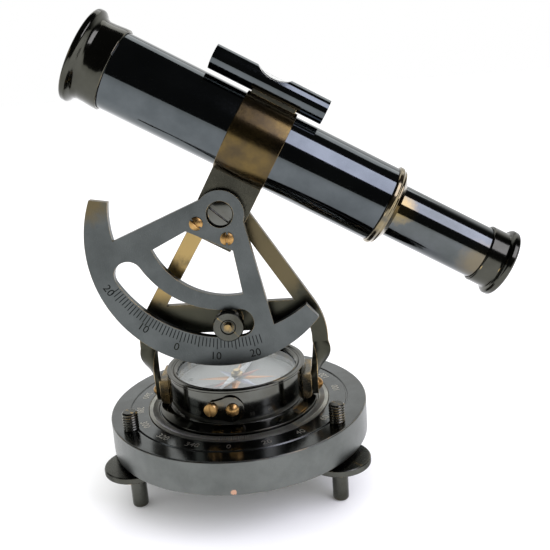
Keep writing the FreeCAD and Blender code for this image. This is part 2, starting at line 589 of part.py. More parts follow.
# ---------------------------------------------------------------- pivot screw, spacer washer and nut
bracket_back = -S["frame_front"] - S["layer_gap"]
bracket_front = bracket_back - S["bracket_thickness"]
face_forward = Rotation(Vector(0, 0, 1), Vector(0, -1, 0))
part("pivot_spacer", cut(
    cylinder("apex_radius - spacer_inset", "layer_gap", "0"),
    cylinder("pivot_shank / 2 + running_gap", "layer_gap + 2 * overcut", "-overcut"),
), at(0, -S["frame_front"], pivot_z, face_forward))
screw = cut(
    fuse(
        cylinder("pivot_head / 2", "pivot_head_height", "layer_gap + bracket_thickness + pivot_head_gap"),
        cylinder("pivot_shank / 2",
                 "layer_gap + bracket_thickness + pivot_head_gap + frame_thickness + pivot_tail",
                 "-(frame_thickness + pivot_tail)"),
    ),
    box("pivot_head + 2 * overcut", "pivot_slot_width", "pivot_slot_depth + overcut",
        "-(pivot_head / 2 + overcut)", "-pivot_slot_width / 2",
        "layer_gap + bracket_thickness + pivot_head_gap + pivot_head_height - pivot_slot_depth"),
)
part("pivot_screw", screw, at(0, -S["frame_front"], pivot_z,
                              face_forward.multiply(Rotation(Vector(0, 0, 1), S["pivot_slot_turn"]))))
part("pivot_nut", cut(
    cylinder("apex_radius - nut_inset", "nut_height", "0"),
    cylinder("pivot_shank / 2 + running_gap", "nut_height + 2 * overcut", "-overcut"),
), at(0, S["frame_thickness"] - S["frame_front"], pivot_z, Rotation(Vector(0, 0, 1), Vector(0, 1, 0))))

# ---------------------------------------------------------------- telescope frame
# Local frame of the tilting pieces: origin on the pivot line at the bracket's middle, X along the tube
# towards the eyepiece, Z square to it.
tilt_turn = Rotation(Vector(0, 1, 0), S["tilt"])
bracket_mid = (bracket_back + bracket_front) / 2
tilt_place = at(0, bracket_mid, pivot_z, tilt_turn)
tube_turn = Rotation(Vector(0, 0, 1), Vector(1, 0, 0))


def tilted(shape):
    """Move a shape made in the telescope's own frame to its place."""
    moved = shape.copy()
    moved.Placement = tilt_place.multiply(moved.Placement)
    return moved


def on_axis(station, height=0.0):
    """Placement for a turned piece whose local Z runs along the tube, from a station on its axis."""
    return tilt_place.multiply(at(station, 0, S["axis_offset"] + height, tube_turn))


# ---------------------------------------------------------------- sector plate
def polar(radius, angle):
    """Point in the sector's plane: degrees from straight away from the tube, + towards the eyepiece."""
    turn = math.radians(angle)
    return Vector(radius * math.sin(turn), 0, -radius * math.cos(turn))


def rim_radius(angle):
    """Distance from the pivot to the outer arc, whose centre lies off the pivot and a little to one side."""
    turn = math.radians(angle - S["arc_skew"])
    offset = S["arc_offset"]
    return offset * math.cos(turn) + math.sqrt(S["arc_radius"] ** 2 - (offset * math.sin(turn)) ** 2)


rib_outer = S["slot_radius"] - S["slot_width"] / 2
rib_inner = rib_outer - S["rib_width"]


def sector_outline():
    """Hub, spokes, horns and outer arc as one closed face."""
    horn = S["horn_angle"]
    hub_tangent = S["hub_tangent_angle"]
    arcs = [Part.Arc(polar(rim_radius(-horn), -horn), polar(rim_radius(0), 0), polar(rim_radius(horn), horn))]
    lines = []
    for side in (-1, 1):
        inner = S["horn_radius"] + side * S["horn_shift"]
        notch = S["notch_angle"] + side * S["notch_skew"]
        arcs.append(Part.Arc(polar(inner, side * notch), polar(inner, side * (notch + horn) / 2),
                             polar(inner, side * horn)))
        lines.append(Part.makeLine(polar(inner, side * horn), polar(rim_radius(side * horn), side * horn)))
        lines.append(Part.makeLine(polar(inner, side * notch), polar(S["hub_radius"], side * hub_tangent)))
    arcs.append(Part.Arc(polar(S["hub_radius"], -hub_tangent), polar(S["hub_radius"], 180),
                         polar(S["hub_radius"], hub_tangent)))
    edges = [arc.toShape() for arc in arcs] + lines
    return Part.Face(Part.Wire(Part.__sortEdges__(edges)))


def slot_face():
    """Arc slot round the pivot with round ends, in which the clamp screw runs."""
    middle = S["slot_centre_angle"]
    low = middle - S["slot_half_angle"]
    high = middle + S["slot_half_angle"]
    inner = S["slot_radius"] - S["slot_width"] / 2
    outer = S["slot_radius"] + S["slot_width"] / 2
    ends = []
    for angle, side in ((low, -1), (high, 1)):
        onward = Vector(math.cos(math.radians(angle)), 0, math.sin(math.radians(angle))) * side
        past = polar(S["slot_radius"], angle) + onward * S["slot_width"] / 2
        ends.append(Part.Arc(polar(inner, angle), past, polar(outer, angle)).toShape())
    edges = ends + [
        Part.Arc(polar(inner, low), polar(inner, middle), polar(inner, high)).toShape(),
        Part.Arc(polar(outer, low), polar(outer, middle), polar(outer, high)).toShape(),
    ]
    return Part.Face(Part.Wire(Part.__sortEdges__(edges)))


def window_face():
    """Opening between the spokes, the web under the hub and the inner rib."""
    web = (S["bracket_drop"] - S["web_inset"]) / math.cos(math.radians(S["window_left_top"]))
    left_top = polar(web, -S["window_left_top"])
    left_foot = polar(rib_inner - S["window_skew"], -S["window_left_foot"])
    right_top = polar(web, S["window_right_top"])
    right_foot = polar(rib_inner + S["window_skew"], S["window_right_foot"])
    edges = [
        Part.makeLine(left_top, right_top),
        Part.makeLine(right_top, right_foot),
        Part.Arc(right_foot, polar(rib_inner, 0), left_foot).toShape(),
        Part.makeLine(left_foot, left_top),
    ]
    return Part.Face(Part.Wire(Part.__sortEdges__(edges)))


sector_back_y = -S["bracket_thickness"] / 2
thick = Vector(0, -S["sector_thickness"], 0)
sector_shape = sector_outline().extrude(thick)
for opening in (slot_face(), window_face()):
    opening.translate(Vector(0, S["overcut"], 0))
    sector_shape = sector_shape.cut(opening.extrude(Vector(0, -S["sector_thickness"] - 2 * S["overcut"], 0)))
forward = Vector(0, -1, 0)
bore_back = Vector(0, S["tube_diameter"], 0)
bore_length = 2 * S["tube_diameter"]
sector_shape = sector_shape.cut(disc_shape(S["hub_hole"] / 2, bore_length, bore_back, forward))
screw_spots = [Vector(side * S["sector_screw_side"], 0, -S["sector_screw_drop"]) for side in (-1, 1)]
for spot in screw_spots:
    sector_shape = sector_shape.cut(disc_shape(S["sector_screw_shank"] / 2 + S["running_gap"], bore_length,
                                               spot + bore_back, forward))
sector_shape.translate(Vector(0, sector_back_y, 0))
solid_part("sector_plate", tilted(sector_shape.removeSplitter()))

# ---------------------------------------------------------------- bracket and clamp band
band_outer = S["tube_diameter"] / 2 + S["band_wall"]
block = Part.makeBox(S["bracket_width"], S["bracket_thickness"], S["axis_offset"] + S["bracket_drop"],
                     Vector(-S["bracket_width"] / 2, -S["bracket_thickness"] / 2, -S["bracket_drop"]))
block = block.cut(disc_shape(band_outer, 2 * S["bracket_width"],
                             Vector(-S["bracket_width"], 0, S["axis_offset"]), Vector(1, 0, 0)))
block = block.cut(disc_shape(S["pivot_shank"] / 2 + S["running_gap"], bore_length, bore_back, forward))
for spot in screw_spots:
    depth = S["sector_screw_length"] - S["sector_thickness"] + S["screw_end_gap"]
    block = block.cut(disc_shape(S["sector_screw_shank"] / 2 + S["running_gap"], depth + S["overcut"],
                                 spot + Vector(0, depth - S["bracket_thickness"] / 2, 0), forward))
solid_part("bracket", tilted(max(block.Solids, key=lambda piece: piece.Volume)))

part("clamp_band", cut(
    cylinder("tube_diameter / 2 + band_wall", "band_width"),
    cylinder("tube_diameter / 2", "band_width + 2 * overcut", "-overcut"),
), on_axis(-S["band_width"] / 2))

heads = []
for spot in screw_spots:
    seat = Vector(0, sector_back_y - S["sector_thickness"], 0) + spot
    shank = disc_shape(S["sector_screw_shank"] / 2, S["sector_screw_length"], seat, Vector(0, 1, 0))
    cap_radius = S["sector_screw_head"] ** 2 / (8 * S["sector_screw_dome"]) + S["sector_screw_dome"] / 2
    ball = Part.makeSphere(cap_radius, seat + Vector(0, cap_radius - S["sector_screw_dome"], 0))
    cap = ball.common(disc_shape(S["sector_screw_head"], S["sector_screw_head"], seat, forward))
    heads.append(cap.fuse(shank).removeSplitter())
solid_part("sector_screws", tilted(Part.makeCompound(heads)))

# ---------------------------------------------------------------- main tube, objective cell and lens
TUBE_R = "tube_diameter / 2"
part("main_tube", cut(
    cylinder(TUBE_R, "tube_front + tube_back"),
    cylinder(TUBE_R + " - tube_wall", "tube_front + tube_back + 2 * overcut", "-overcut"),
), on_axis(-S["tube_front"]))

cell_solid = fuse(
    cylinder("cell_flange / 2", "cell_flange_length"),
    cone("cell_flange / 2 - cell_step", "cell_waist / 2", "cell_neck_length", "cell_flange_length"),
    cone("cell_waist / 2", "cell_diameter / 2", "cell_length - cell_flange_length - cell_neck_length",
         "cell_flange_length + cell_neck_length"),
    cylinder("cell_diameter / 2", "cell_overlap", "cell_length"),
)
part("objective_cell", cut(
    cell_solid,
    cylinder(TUBE_R + " - tube_wall", "cell_length + cell_overlap + 2 * overcut", "-overcut"),
    cylinder(TUBE_R, "cell_overlap + overcut", "cell_length"),
    cylinder(TUBE_R + " - cell_seat", "cell_length - cell_flange_length", "cell_flange_length"),
), on_axis(-S["tube_front"] - S["cell_length"]))
lens_station = -S["tube_front"] - S["cell_length"] + S["cell_flange_length"]
part("objective_lens", cylinder(TUBE_R + " - lens_gap", "lens_thickness"), on_axis(lens_station))
part("lens_keep_ring", cut(
    cylinder(TUBE_R + " - lens_gap", "lens_ring_length"),
    cylinder(TUBE_R + " - lens_gap - lens_ring_wall", "lens_ring_length + 2 * overcut", "-overcut"),
), on_axis(lens_station + S["lens_thickness"]))

# ---------------------------------------------------------------- joint ring and draw tube guide
GUIDE_BORE = "draw_diameter / 2 + slide_gap"
joint = fuse(
    cylinder("joint_diameter / 2", "joint_length"),
    cone("joint_diameter / 2 - joint_chamfer", "draw_diameter / 2 + joint_lip", "cone_length",
         "joint_length"),
    cylinder(TUBE_R + " - tube_wall - running_gap", "joint_plug_length", "-joint_plug_length"),
)
part("joint_ring", cut(
    joint,
    cylinder(GUIDE_BORE, "cone_length + joint_length + joint_plug_length + 2 * overcut",
             "-joint_plug_length - overcut"),
), on_axis(S["tube_back"]))
part("draw_tube_guide", cut(
    cylinder(TUBE_R + " - tube_wall - running_gap", "guide_length - joint_plug_length"),
    cylinder(GUIDE_BORE, "guide_length + overcut", "-overcut"),
), on_axis(S["tube_back"] - S["guide_length"]))

# ---------------------------------------------------------------- draw tube and eyepiece
DRAW_LENGTH = "(draw_hidden + joint_length + cone_length + draw_visible)"
draw_end = S["tube_back"] + S["joint_length"] + S["cone_length"] + S["draw_visible"]
draw_start = S["tube_back"] - S["draw_hidden"]
part("draw_tube", cut(
    cylinder("draw_diameter / 2", DRAW_LENGTH),
    cylinder("draw_diameter / 2 - draw_wall", DRAW_LENGTH + " + 2 * overcut", "-overcut"),
), on_axis(draw_start))
part("draw_tube_stop", cut(
    cylinder("draw_diameter / 2 - draw_wall", "stop_length"),
    cylinder("draw_diameter / 2 - draw_wall - stop_wall", "stop_length + 2 * overcut", "-overcut"),
), on_axis(draw_start + S["stop_inset"]))
part("eyepiece_cap", cut(
    fuse(
        cylinder("eye_body / 2", "eye_body_length"),
        cone("eye_body / 2", "eye_flange / 2 - eye_step_inset", "eye_step", "eye_body_length"),
        cylinder("eye_flange / 2", "eye_flange_length", "eye_body_length + eye_step"),
    ),
    cylinder("draw_diameter / 2", "eye_overlap + eye_lens_room + overcut", "-overcut"),
    cylinder("eye_opening / 2", "eye_body_length + eye_step + eye_flange_length + 2 * overcut", "-overcut"),
), on_axis(draw_end - S["eye_overlap"]))
part("eye_lens", cylinder("draw_diameter / 2 - eye_lens_gap", "eye_lens_thickness"),
     on_axis(draw_end + S["eye_lens_room"] - S["eye_lens_thickness"]))

# ---------------------------------------------------------------- spirit level
LEVEL_R = "level_diameter / 2"
level_start = -S["level_length"] / 2 - S["level_shift"]
level_axis = S["axis_offset"] + S["level_height"]
level_bore = S["level_diameter"] / 2 - S["level_wall"]
middle_x = -S["level_shift"]
case = disc_shape(S["level_diameter"] / 2, S["level_length"], Vector(level_start, 0, level_axis),
                  Vector(1, 0, 0))
case = case.cut(disc_shape(level_bore, S["level_length"] + 2 * S["overcut"],
                           Vector(level_start - S["overcut"], 0, level_axis), Vector(1, 0, 0)))
scoop_half = S["window_length"] / 2
scoop_rise = S["window_depth"]
scoop_radius = (scoop_half ** 2 + scoop_rise ** 2) / (2 * scoop_rise)
scoop_centre = Vector(middle_x, S["level_diameter"],
                      level_axis + S["level_diameter"] / 2 - scoop_rise + scoop_radius)
case = case.cut(disc_shape(scoop_radius, 2 * S["level_diameter"], scoop_centre, forward))
case = case.cut(disc_shape(S["level_screw_diameter"] / 2 + S["running_gap"],
                           S["level_wall"] + S["overcut"],
                           Vector(0, 0, level_axis - S["level_diameter"] / 2 - S["overcut"] / 2),
                           Vector(0, 0, 1)))
solid_part("level_tube", tilted(case.removeSplitter().Solids[0]))

VIAL_R = "level_diameter / 2 - level_wall - vial_gap"
part("level_vial", cut(
    cylinder(VIAL_R, "vial_length"),
    cylinder(VIAL_R + " - vial_wall", "vial_length - 2 * vial_end", "vial_end"),
), on_axis(middle_x - S["vial_length"] / 2, S["level_height"]))
part("level_bubble", cylinder("bubble_diameter / 2", "bubble_length"),
     on_axis(middle_x - S["bubble_length"] / 2, S["level_height"] + S["bubble_rise"]))
plugs = []
for side in (-1, 1):
    centre_x = middle_x + side * (S["level_length"] / 2 - S["plug_inset"])
    plugs.append(disc_shape(level_bore - S["plug_gap"], S["plug_length"], Vector(centre_x, 0, level_axis),
                            Vector(-side, 0, 0)))
solid_part("level_end_plugs", tilted(Part.makeCompound(plugs)))

saddle = Part.makeBox(S["saddle_length"], S["saddle_width"], S["level_height"],
                      Vector(-S["saddle_length"] / 2, -S["saddle_width"] / 2, S["axis_offset"]))
for radius, height in ((band_outer, S["axis_offset"]), (S["level_diameter"] / 2, level_axis)):
    saddle = saddle.cut(disc_shape(radius, 2 * S["saddle_length"], Vector(-S["saddle_length"], 0, height),
                                   Vector(1, 0, 0)))
solid_part("level_saddle", tilted(saddle.Solids[0]))

# ---------------------------------------------------------------- clamp screw through the sector's slot
clamp_place = at(0, -S["frame_front"], clamp_height, face_forward)
part("clamp_knob", cut(
    cylinder("clamp_knob_diameter / 2", "clamp_knob_thickness",
             "layer_gap + bracket_thickness + sector_thickness + clamp_knob_gap"),
    cylinder("clamp_shank / 2", "clamp_knob_thickness + 2 * overcut",
             "layer_gap + bracket_thickness + sector_thickness + clamp_knob_gap - overcut"),
), clamp_place)
part("clamp_stud", fuse(
    cylinder("clamp_shank / 2",
             "frame_thickness + layer_gap + bracket_thickness + sector_thickness + clamp_knob_gap"
             " + clamp_knob_thickness",
             "-frame_thickness"),
    cylinder("clamp_tip_diameter / 2", "clamp_tip_length",
             "layer_gap + bracket_thickness + sector_thickness + clamp_knob_gap + clamp_knob_thickness"),
), clamp_place)

# ---------------------------------------------------------------- checks and export
doc.recompute()
faults = []
for item in doc.Objects:
    if "Invalid" in item.State or "Error" in item.State:
        faults.append("%s (%s) is %s" % (item.Name, item.Label, item.State))
for item in PARTS:
    if item.Shape.isNull() or not item.Shape.isValid() or not item.Shape.Solids:
        faults.append(item.Label + " has no valid solid")
if faults:
    raise SystemExit("\n".join(faults))
os.makedirs("parts", exist_ok=True)
for item in PARTS:
    item.Shape.exportStep("parts/" + item.Label + ".step")
print(len(PARTS), "parts written")
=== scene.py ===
"""Desk theodolite in blackened brass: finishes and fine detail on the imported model, light, camera. +Z up."""
import json
import math

import bmesh
import bpy
import numpy as np
from mathutils import Matrix, Vector


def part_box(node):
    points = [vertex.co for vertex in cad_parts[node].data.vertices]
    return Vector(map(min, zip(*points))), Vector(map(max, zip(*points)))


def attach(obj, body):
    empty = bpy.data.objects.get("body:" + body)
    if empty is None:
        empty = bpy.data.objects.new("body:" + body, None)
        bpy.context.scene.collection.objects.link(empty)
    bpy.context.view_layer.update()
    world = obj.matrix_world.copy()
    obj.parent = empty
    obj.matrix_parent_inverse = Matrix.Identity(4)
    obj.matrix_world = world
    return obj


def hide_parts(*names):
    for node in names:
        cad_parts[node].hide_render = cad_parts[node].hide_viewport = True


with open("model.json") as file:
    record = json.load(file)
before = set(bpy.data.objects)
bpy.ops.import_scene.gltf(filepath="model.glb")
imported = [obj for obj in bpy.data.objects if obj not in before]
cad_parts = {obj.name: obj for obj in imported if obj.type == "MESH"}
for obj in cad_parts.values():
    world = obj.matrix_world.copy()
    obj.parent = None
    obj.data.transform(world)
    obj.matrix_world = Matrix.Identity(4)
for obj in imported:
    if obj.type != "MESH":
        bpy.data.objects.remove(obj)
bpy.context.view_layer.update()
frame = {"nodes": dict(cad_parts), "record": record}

MM = 0.001
nodes = frame["nodes"]

# ------------------------------------------------------------------ camera
# Held close and a little to the right, looking slightly down, with the horizon a few degrees off level.
bpy.context.scene.view_settings.view_transform = "Standard"
camera_data = bpy.data.cameras.new("camera")
camera_data.sensor_width = 36
camera_data.lens = 52.36
camera_data.clip_start = 0.01
camera = bpy.data.objects.new("camera", camera_data)
camera_axes = Matrix(((0.9962629, 0.0521239, -0.0688718), (0.0516632, 0.2793952, 0.9587853),
                      (0.0692181, -0.9587604, 0.2756582))).transposed()
camera.matrix_world = Matrix.Translation(Vector((38.603, -289.294, 165.444)) * MM) @ camera_axes.to_4x4()
bpy.context.scene.collection.objects.link(camera)
bpy.context.scene.camera = camera


# ------------------------------------------------------------------ studio
# A matt white table, a white backdrop low behind it, a dark room, and three softboxes: a long one high on the
# right, a narrow one on the left and one behind.
def node(tree, kind, settings=None, inputs=None):
    """Add a shader node, set its properties, then set or link its inputs."""
    made = tree.nodes.new(kind)
    for name, value in (settings or {}).items():
        setattr(made, name, value)
    for name, value in (inputs or {}).items():
        socket = made.inputs[name]
        if isinstance(value, bpy.types.NodeSocket):
            tree.links.new(value, socket)
        else:
            socket.default_value = value
    return made


def linear(hex_colour):
    """sRGB hex colour to linear RGBA."""
    parts = [int(hex_colour[i:i + 2], 16) / 255 for i in (1, 3, 5)]
    return tuple(c / 12.92 if c <= 0.04045 else ((c + 0.055) / 1.055) ** 2.4 for c in parts) + (1.0,)


world = bpy.data.worlds.new("studio")
bpy.context.scene.world = world
world.use_nodes = True
tree = world.node_tree
tree.nodes.clear()
look = node(tree, "ShaderNodeTexCoord").outputs["Generated"]
split = node(tree, "ShaderNodeSeparateXYZ", inputs={0: look})
backdrop = node(tree, "ShaderNodeMapRange", {"interpolation_type": "SMOOTHSTEP"},
                {"Value": split.outputs["Y"], "From Min": 0.3, "From Max": 0.7, "To Min": 0.0, "To Max": 1.0})
below_top = node(tree, "ShaderNodeMapRange", {"interpolation_type": "SMOOTHSTEP"},
                 {"Value": split.outputs["Z"], "From Min": 0.7, "From Max": 0.4, "To Min": 0.0,
                  "To Max": 1.0})
lit = node(tree, "ShaderNodeMath", {"operation": "MULTIPLY"},
           {0: backdrop.outputs["Result"], 1: below_top.outputs["Result"]})
room = node(tree, "ShaderNodeMapRange", inputs={"Value": lit.outputs[0], "To Min": 0.03, "To Max": 1.0})
ray = node(tree, "ShaderNodeLightPath").outputs
soft_fill = node(tree, "ShaderNodeMix", {"data_type": "FLOAT"},
                 {"Factor": ray["Is Diffuse Ray"], "A": room.outputs["Result"], "B": 1.2})
strength = node(tree, "ShaderNodeMix", {"data_type": "FLOAT"},
                {"Factor": ray["Is Camera Ray"], "A": soft_fill.outputs["Result"], "B": 1.0})
background = node(tree, "ShaderNodeBackground", inputs={"Strength": strength.outputs["Result"]})
background.inputs["Color"].default_value = linear("#ffffff")
node(tree, "ShaderNodeOutputWorld", inputs={"Surface": background.outputs[0]})


def softbox(name, target, toward, long_way, distance, size, radiance, tint):
    """Rectangular area light facing a target from a direction, its long side along another direction."""
    data = bpy.data.lights.new(name, "AREA")
    data.shape = "RECTANGLE"
    data.size, data.size_y = size
    data.color = linear(tint)[:3]
    data.energy = radiance * math.pi * size[0] * size[1]
    lamp = bpy.data.objects.new(name, data)
    back = Vector(toward).normalized()
    side = back.cross(Vector(long_way)).normalized()
    axes = Matrix((side.cross(back), side, back)).transposed()
    lamp.matrix_world = Matrix.Translation(Vector(target) + back * distance) @ axes.to_4x4()
    bpy.context.scene.collection.objects.link(lamp)


softbox("softbox_high_right", target=(0.27, 0, -0.05), toward=(0.42, -0.4, 0.78), long_way=(0.866, 0, -0.5),
        distance=1.0, size=(0.6, 0.75), radiance=4.5, tint="#eceaff")
softbox("softbox_left", target=(0, 0, 0.1), toward=(-1, -0.35, 0.3), long_way=(0, 0, 1), distance=1.1,
        size=(0.7, 0.3), radiance=1.2, tint="#f4f8ff")
softbox("softbox_behind", target=(0, 0, 0.1), toward=(0.2, 1, 1.1), long_way=(1, 0, 0), distance=1.3,
        size=(1.4, 0.5), radiance=1.6, tint="#ffffff")

table_mesh = bpy.data.meshes.new("table")
table_mesh.from_pydata([(-3, -3, 0), (3, -3, 0), (3, 3, 0), (-3, 3, 0)], [], [(0, 1, 2, 3)])
table = bpy.data.objects.new("table", table_mesh)
bpy.context.scene.collection.objects.link(table)


def new_material(name):
    """Material with nodes, its tree and its shader."""
    made = bpy.data.materials.new(name)
    made.use_nodes = True
    return made, made.node_tree, made.node_tree.nodes["Principled BSDF"]


paper, tree, paper_shader = new_material("matt white paper")
where = node(tree, "ShaderNodeTexCoord").outputs["Object"]
fibre = node(tree, "ShaderNodeTexNoise", inputs={"Vector": where, "Scale": 1 / (1.5 * MM), "Detail": 3.0})
paper_relief = node(tree, "ShaderNodeBump", inputs={"Height": fibre.outputs["Fac"], "Strength": 0.1,
                                                    "Distance": 0.05 * MM})
paper_shader.inputs["Base Color"].default_value = linear("#fafafa")
paper_shader.inputs["Roughness"].default_value = 0.95
tree.links.new(paper_relief.outputs[0], paper_shader.inputs["Normal"])
table_mesh.materials.append(paper)


# ------------------------------------------------------------------ base plate
# A turned disc of brass, blackened in a chemical bath after polishing, so it stays smooth but dark.
# Its side is brushed round by the lathe, and its top keeps a mirror. Hands rub the edges back to brass.
def metal(name, tones, worn, roughness, grain_mm, wear, bump, grain_stretch=(1, 1, 1), cloud_mm=14.0):
    """Metal in two clouded tones, with rubbed edges and spots, and with grain in its gloss and relief."""
    made, tree, shader = new_material(name)
    where = node(tree, "ShaderNodeTexCoord").outputs["Object"]
    cloud = node(tree, "ShaderNodeTexNoise", inputs={"Vector": where, "Scale": 1 / (cloud_mm * MM),
                                                     "Detail": 5.0, "Roughness": 0.6})
    clouded = node(tree, "ShaderNodeMapRange", inputs={"Value": cloud.outputs["Fac"], "From Min": 0.38,
                                                       "From Max": 0.66})
    tone = node(tree, "ShaderNodeMix", {"data_type": "RGBA"},
                {"Factor": clouded.outputs["Result"], "A": linear(tones[0]), "B": linear(tones[1])})
    if wear:
        edge = node(tree, "ShaderNodeNewGeometry").outputs["Pointiness"]
        rub = node(tree, "ShaderNodeMapRange", inputs={"Value": edge, "From Min": 0.52, "From Max": 0.58})
        patch = node(tree, "ShaderNodeTexNoise", inputs={"Vector": where, "Scale": 1 / (6 * MM),
                                                         "Detail": 6.0})
        patchy = node(tree, "ShaderNodeMapRange", inputs={"Value": patch.outputs["Fac"], "From Min": 0.46,
                                                          "From Max": 0.62, "To Min": 0.1 * wear,
                                                          "To Max": wear})
        rubbed = node(tree, "ShaderNodeMath", {"operation": "MULTIPLY", "use_clamp": True},
                      {0: rub.outputs["Result"], 1: patchy.outputs["Result"]})
        tone = node(tree, "ShaderNodeMix", {"data_type": "RGBA"},
                    {"Factor": rubbed.outputs[0], "A": tone.outputs["Result"], "B": linear(worn)})
    stretched = node(tree, "ShaderNodeMapping", inputs={"Vector": where, "Scale": grain_stretch})
    grain = node(tree, "ShaderNodeTexNoise", inputs={"Vector": stretched.outputs[0],
                                                     "Scale": 1 / (grain_mm * MM), "Detail": 4.0})
    gloss = node(tree, "ShaderNodeMapRange", inputs={"Value": grain.outputs["Fac"], "From Min": 0.3,
                                                     "From Max": 0.7, "To Min": 0.75 * roughness,
                                                     "To Max": 1.25 * roughness})
    relief = node(tree, "ShaderNodeBump", inputs={"Height": grain.outputs["Fac"], "Strength": bump,
                                                  "Distance": 0.02 * MM})
    tree.links.new(tone.outputs["Result"], shader.inputs["Base Color"])
    tree.links.new(gloss.outputs["Result"], shader.inputs["Roughness"])
    tree.links.new(relief.outputs[0], shader.inputs["Normal"])
    shader.inputs["Metallic"].default_value = 1.0
    return made


def finish_nodes(finish, *names):
    """Give CAD nodes a finish."""
    for name in names:
        nodes[name].data.materials.clear()
        nodes[name].data.materials.append(finish)


def place_piece(mesh, name, finish, body, *stands_for):
    """Link a finished mesh as a piece that rides on a body and stands for CAD nodes.
    """
    mesh.materials.clear()
    mesh.materials.append(finish)
    piece = bpy.data.objects.new(name, mesh)
    bpy.context.scene.collection.objects.link(piece)
    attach(piece, body)
    if stands_for:
        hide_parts(*stands_for)
    return piece


def softened(name, cad_node, finish, edge_finish, body, width_mm):
    """Copy of a CAD node, merged, its flats made whole and its edges broken by a small worn bevel."""
    mesh = nodes[cad_node].data.copy()
    work = bmesh.new()
    work.from_mesh(mesh)
    bmesh.ops.remove_doubles(work, verts=work.verts, dist=0.001 * MM)
    bmesh.ops.dissolve_limit(work, angle_limit=math.radians(0.5), verts=work.verts, edges=work.edges)
    bmesh.ops.recalc_face_normals(work, faces=work.faces)
    for face in work.faces:
        face.smooth = True
        face.material_index = 0
    work.to_mesh(mesh)
    work.free()
    mesh.name = name
    piece = place_piece(mesh, name, finish, body, cad_node)
    mesh.materials.append(edge_finish)
    bevel = piece.modifiers.new("edge break", "BEVEL")
    bevel.width = width_mm * MM
    bevel.segments = 2
    bevel.limit_method = "ANGLE"
    bevel.angle_limit = math.radians(35)
    bevel.material = 1
    flats = piece.modifiers.new("flat faces stay flat", "WEIGHTED_NORMAL")
    flats.weight = 100
    flats.keep_sharp = True
    return piece


worn_edge = metal("brass at rubbed edges", ("#c4aa78", "#66645c"), "#e8d2a0",
                  roughness=0.25, grain_mm=0.4, wear=0, bump=0.1, cloud_mm=5.0)


def mesh_from_grid(name, grid, wrap_rows):
    """Quads between neighbours of a rows x columns x 3 grid in mm, closed round along each row.

    Where wrap_rows is true the last row joins the first too. Rows that shrink to a point are merged, and the
    faces are turned outwards.
    """
    rows, columns = grid.shape[:2]
    index = np.arange(rows * columns).reshape(rows, columns)
    if wrap_rows:
        index = np.vstack((index, index[:1]))
    index = np.hstack((index, index[:, :1]))
    quads = np.stack((index[:-1, :-1], index[1:, :-1], index[1:, 1:], index[:-1, 1:]), axis=-1).reshape(-1, 4)
    mesh = bpy.data.meshes.new(name)
    mesh.from_pydata((grid.reshape(-1, 3) * MM).tolist(), [], quads.tolist())
    work = bmesh.new()
    work.from_mesh(mesh)
    bmesh.ops.remove_doubles(work, verts=work.verts, dist=0.002 * MM)
    bmesh.ops.recalc_face_normals(work, faces=work.faces)
    for face in work.faces:
        face.smooth = True
    work.to_mesh(mesh)
    work.free()
    return mesh


def rounded(corners, radius, closed=False):
    """Polyline with every inner corner turned into an arc of up to that radius.

    The arc is here + reach * (before * (1 - t) squared + after * t squared), with a support point each side.
    """
    points = [np.array(c, float) for c in corners]
    count = len(points)
    line = []
    for i, here in enumerate(points):
        if not closed and i in (0, count - 1):
            line.append(here[None])
            continue
        before, after = points[i - 1] - here, points[(i + 1) % count] - here
        reach = min(radius, 0.42 * np.linalg.norm(before), 0.42 * np.linalg.norm(after))
        before, after = before / np.linalg.norm(before), after / np.linalg.norm(after)
        t = np.linspace(0, 1, 5)[:, None]
        arc = here + reach * (before * (1 - t) ** 2 + after * t ** 2)
        line += [here[None] + before * reach * 1.15, arc, here[None] + after * reach * 1.15]
    return np.vstack(line)


def turned(profile, origin, along, across, count=96, radius_change=None):
    """Profile of (radius, station) rows carried round an axis.

    Point = origin + station * along + radius * (cos(turn) * across + sin(turn) * (along x across)).
    """
    turn = np.linspace(0, 2 * np.pi, count, endpoint=False)
    radius = np.repeat(profile[:, :1], count, axis=1)
    station = np.repeat(profile[:, 1:], count, axis=1)
    if radius_change is not None:
        radius = radius + radius_change(turn[None, :], station, radius)
    along, across = np.array(along, float), np.array(across, float)
    side = np.cross(along, across)
    spoke = np.cos(turn)[None, :, None] * across + np.sin(turn)[None, :, None] * side
    return np.array(origin, float) + station[..., None] * along + radius[..., None] * spoke


def turned_piece(name, profile, origin, count, finish, body, *stands_for, wrap_rows=True, change=None):
    """Piece turned about an upright axis through the origin, from a closed profile or one that ends on it."""
    grid = turned(profile, origin, UP, EAST, count, change)
    return place_piece(mesh_from_grid(name, grid, wrap_rows), name, finish, body, *stands_for)


def box_mm(name):
    """Lowest and highest corner of a CAD node, in mm."""
    return tuple(np.array(corner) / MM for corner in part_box(name))


CENTRE, UP, EAST = (0, 0, 0), (0, 0, 1), (1, 0, 0)
base_low, base_high = box_mm("base_plate")
base_radius, base_foot, base_top = base_high[0], base_low[2], base_high[2]
base_top_finish = metal("blackened brass, turned and polished", ("#686b6a", "#5a5c5a"), "#b59868",
                        roughness=0.16, grain_mm=0.5, wear=0.9, bump=0.08)
base_side_finish = metal("blackened brass, brushed round", ("#6b6e6b", "#5c5f5c"), "#b59868",
                         roughness=0.34, grain_mm=0.45, wear=0.9, bump=0.25, grain_stretch=(1, 1, 6))


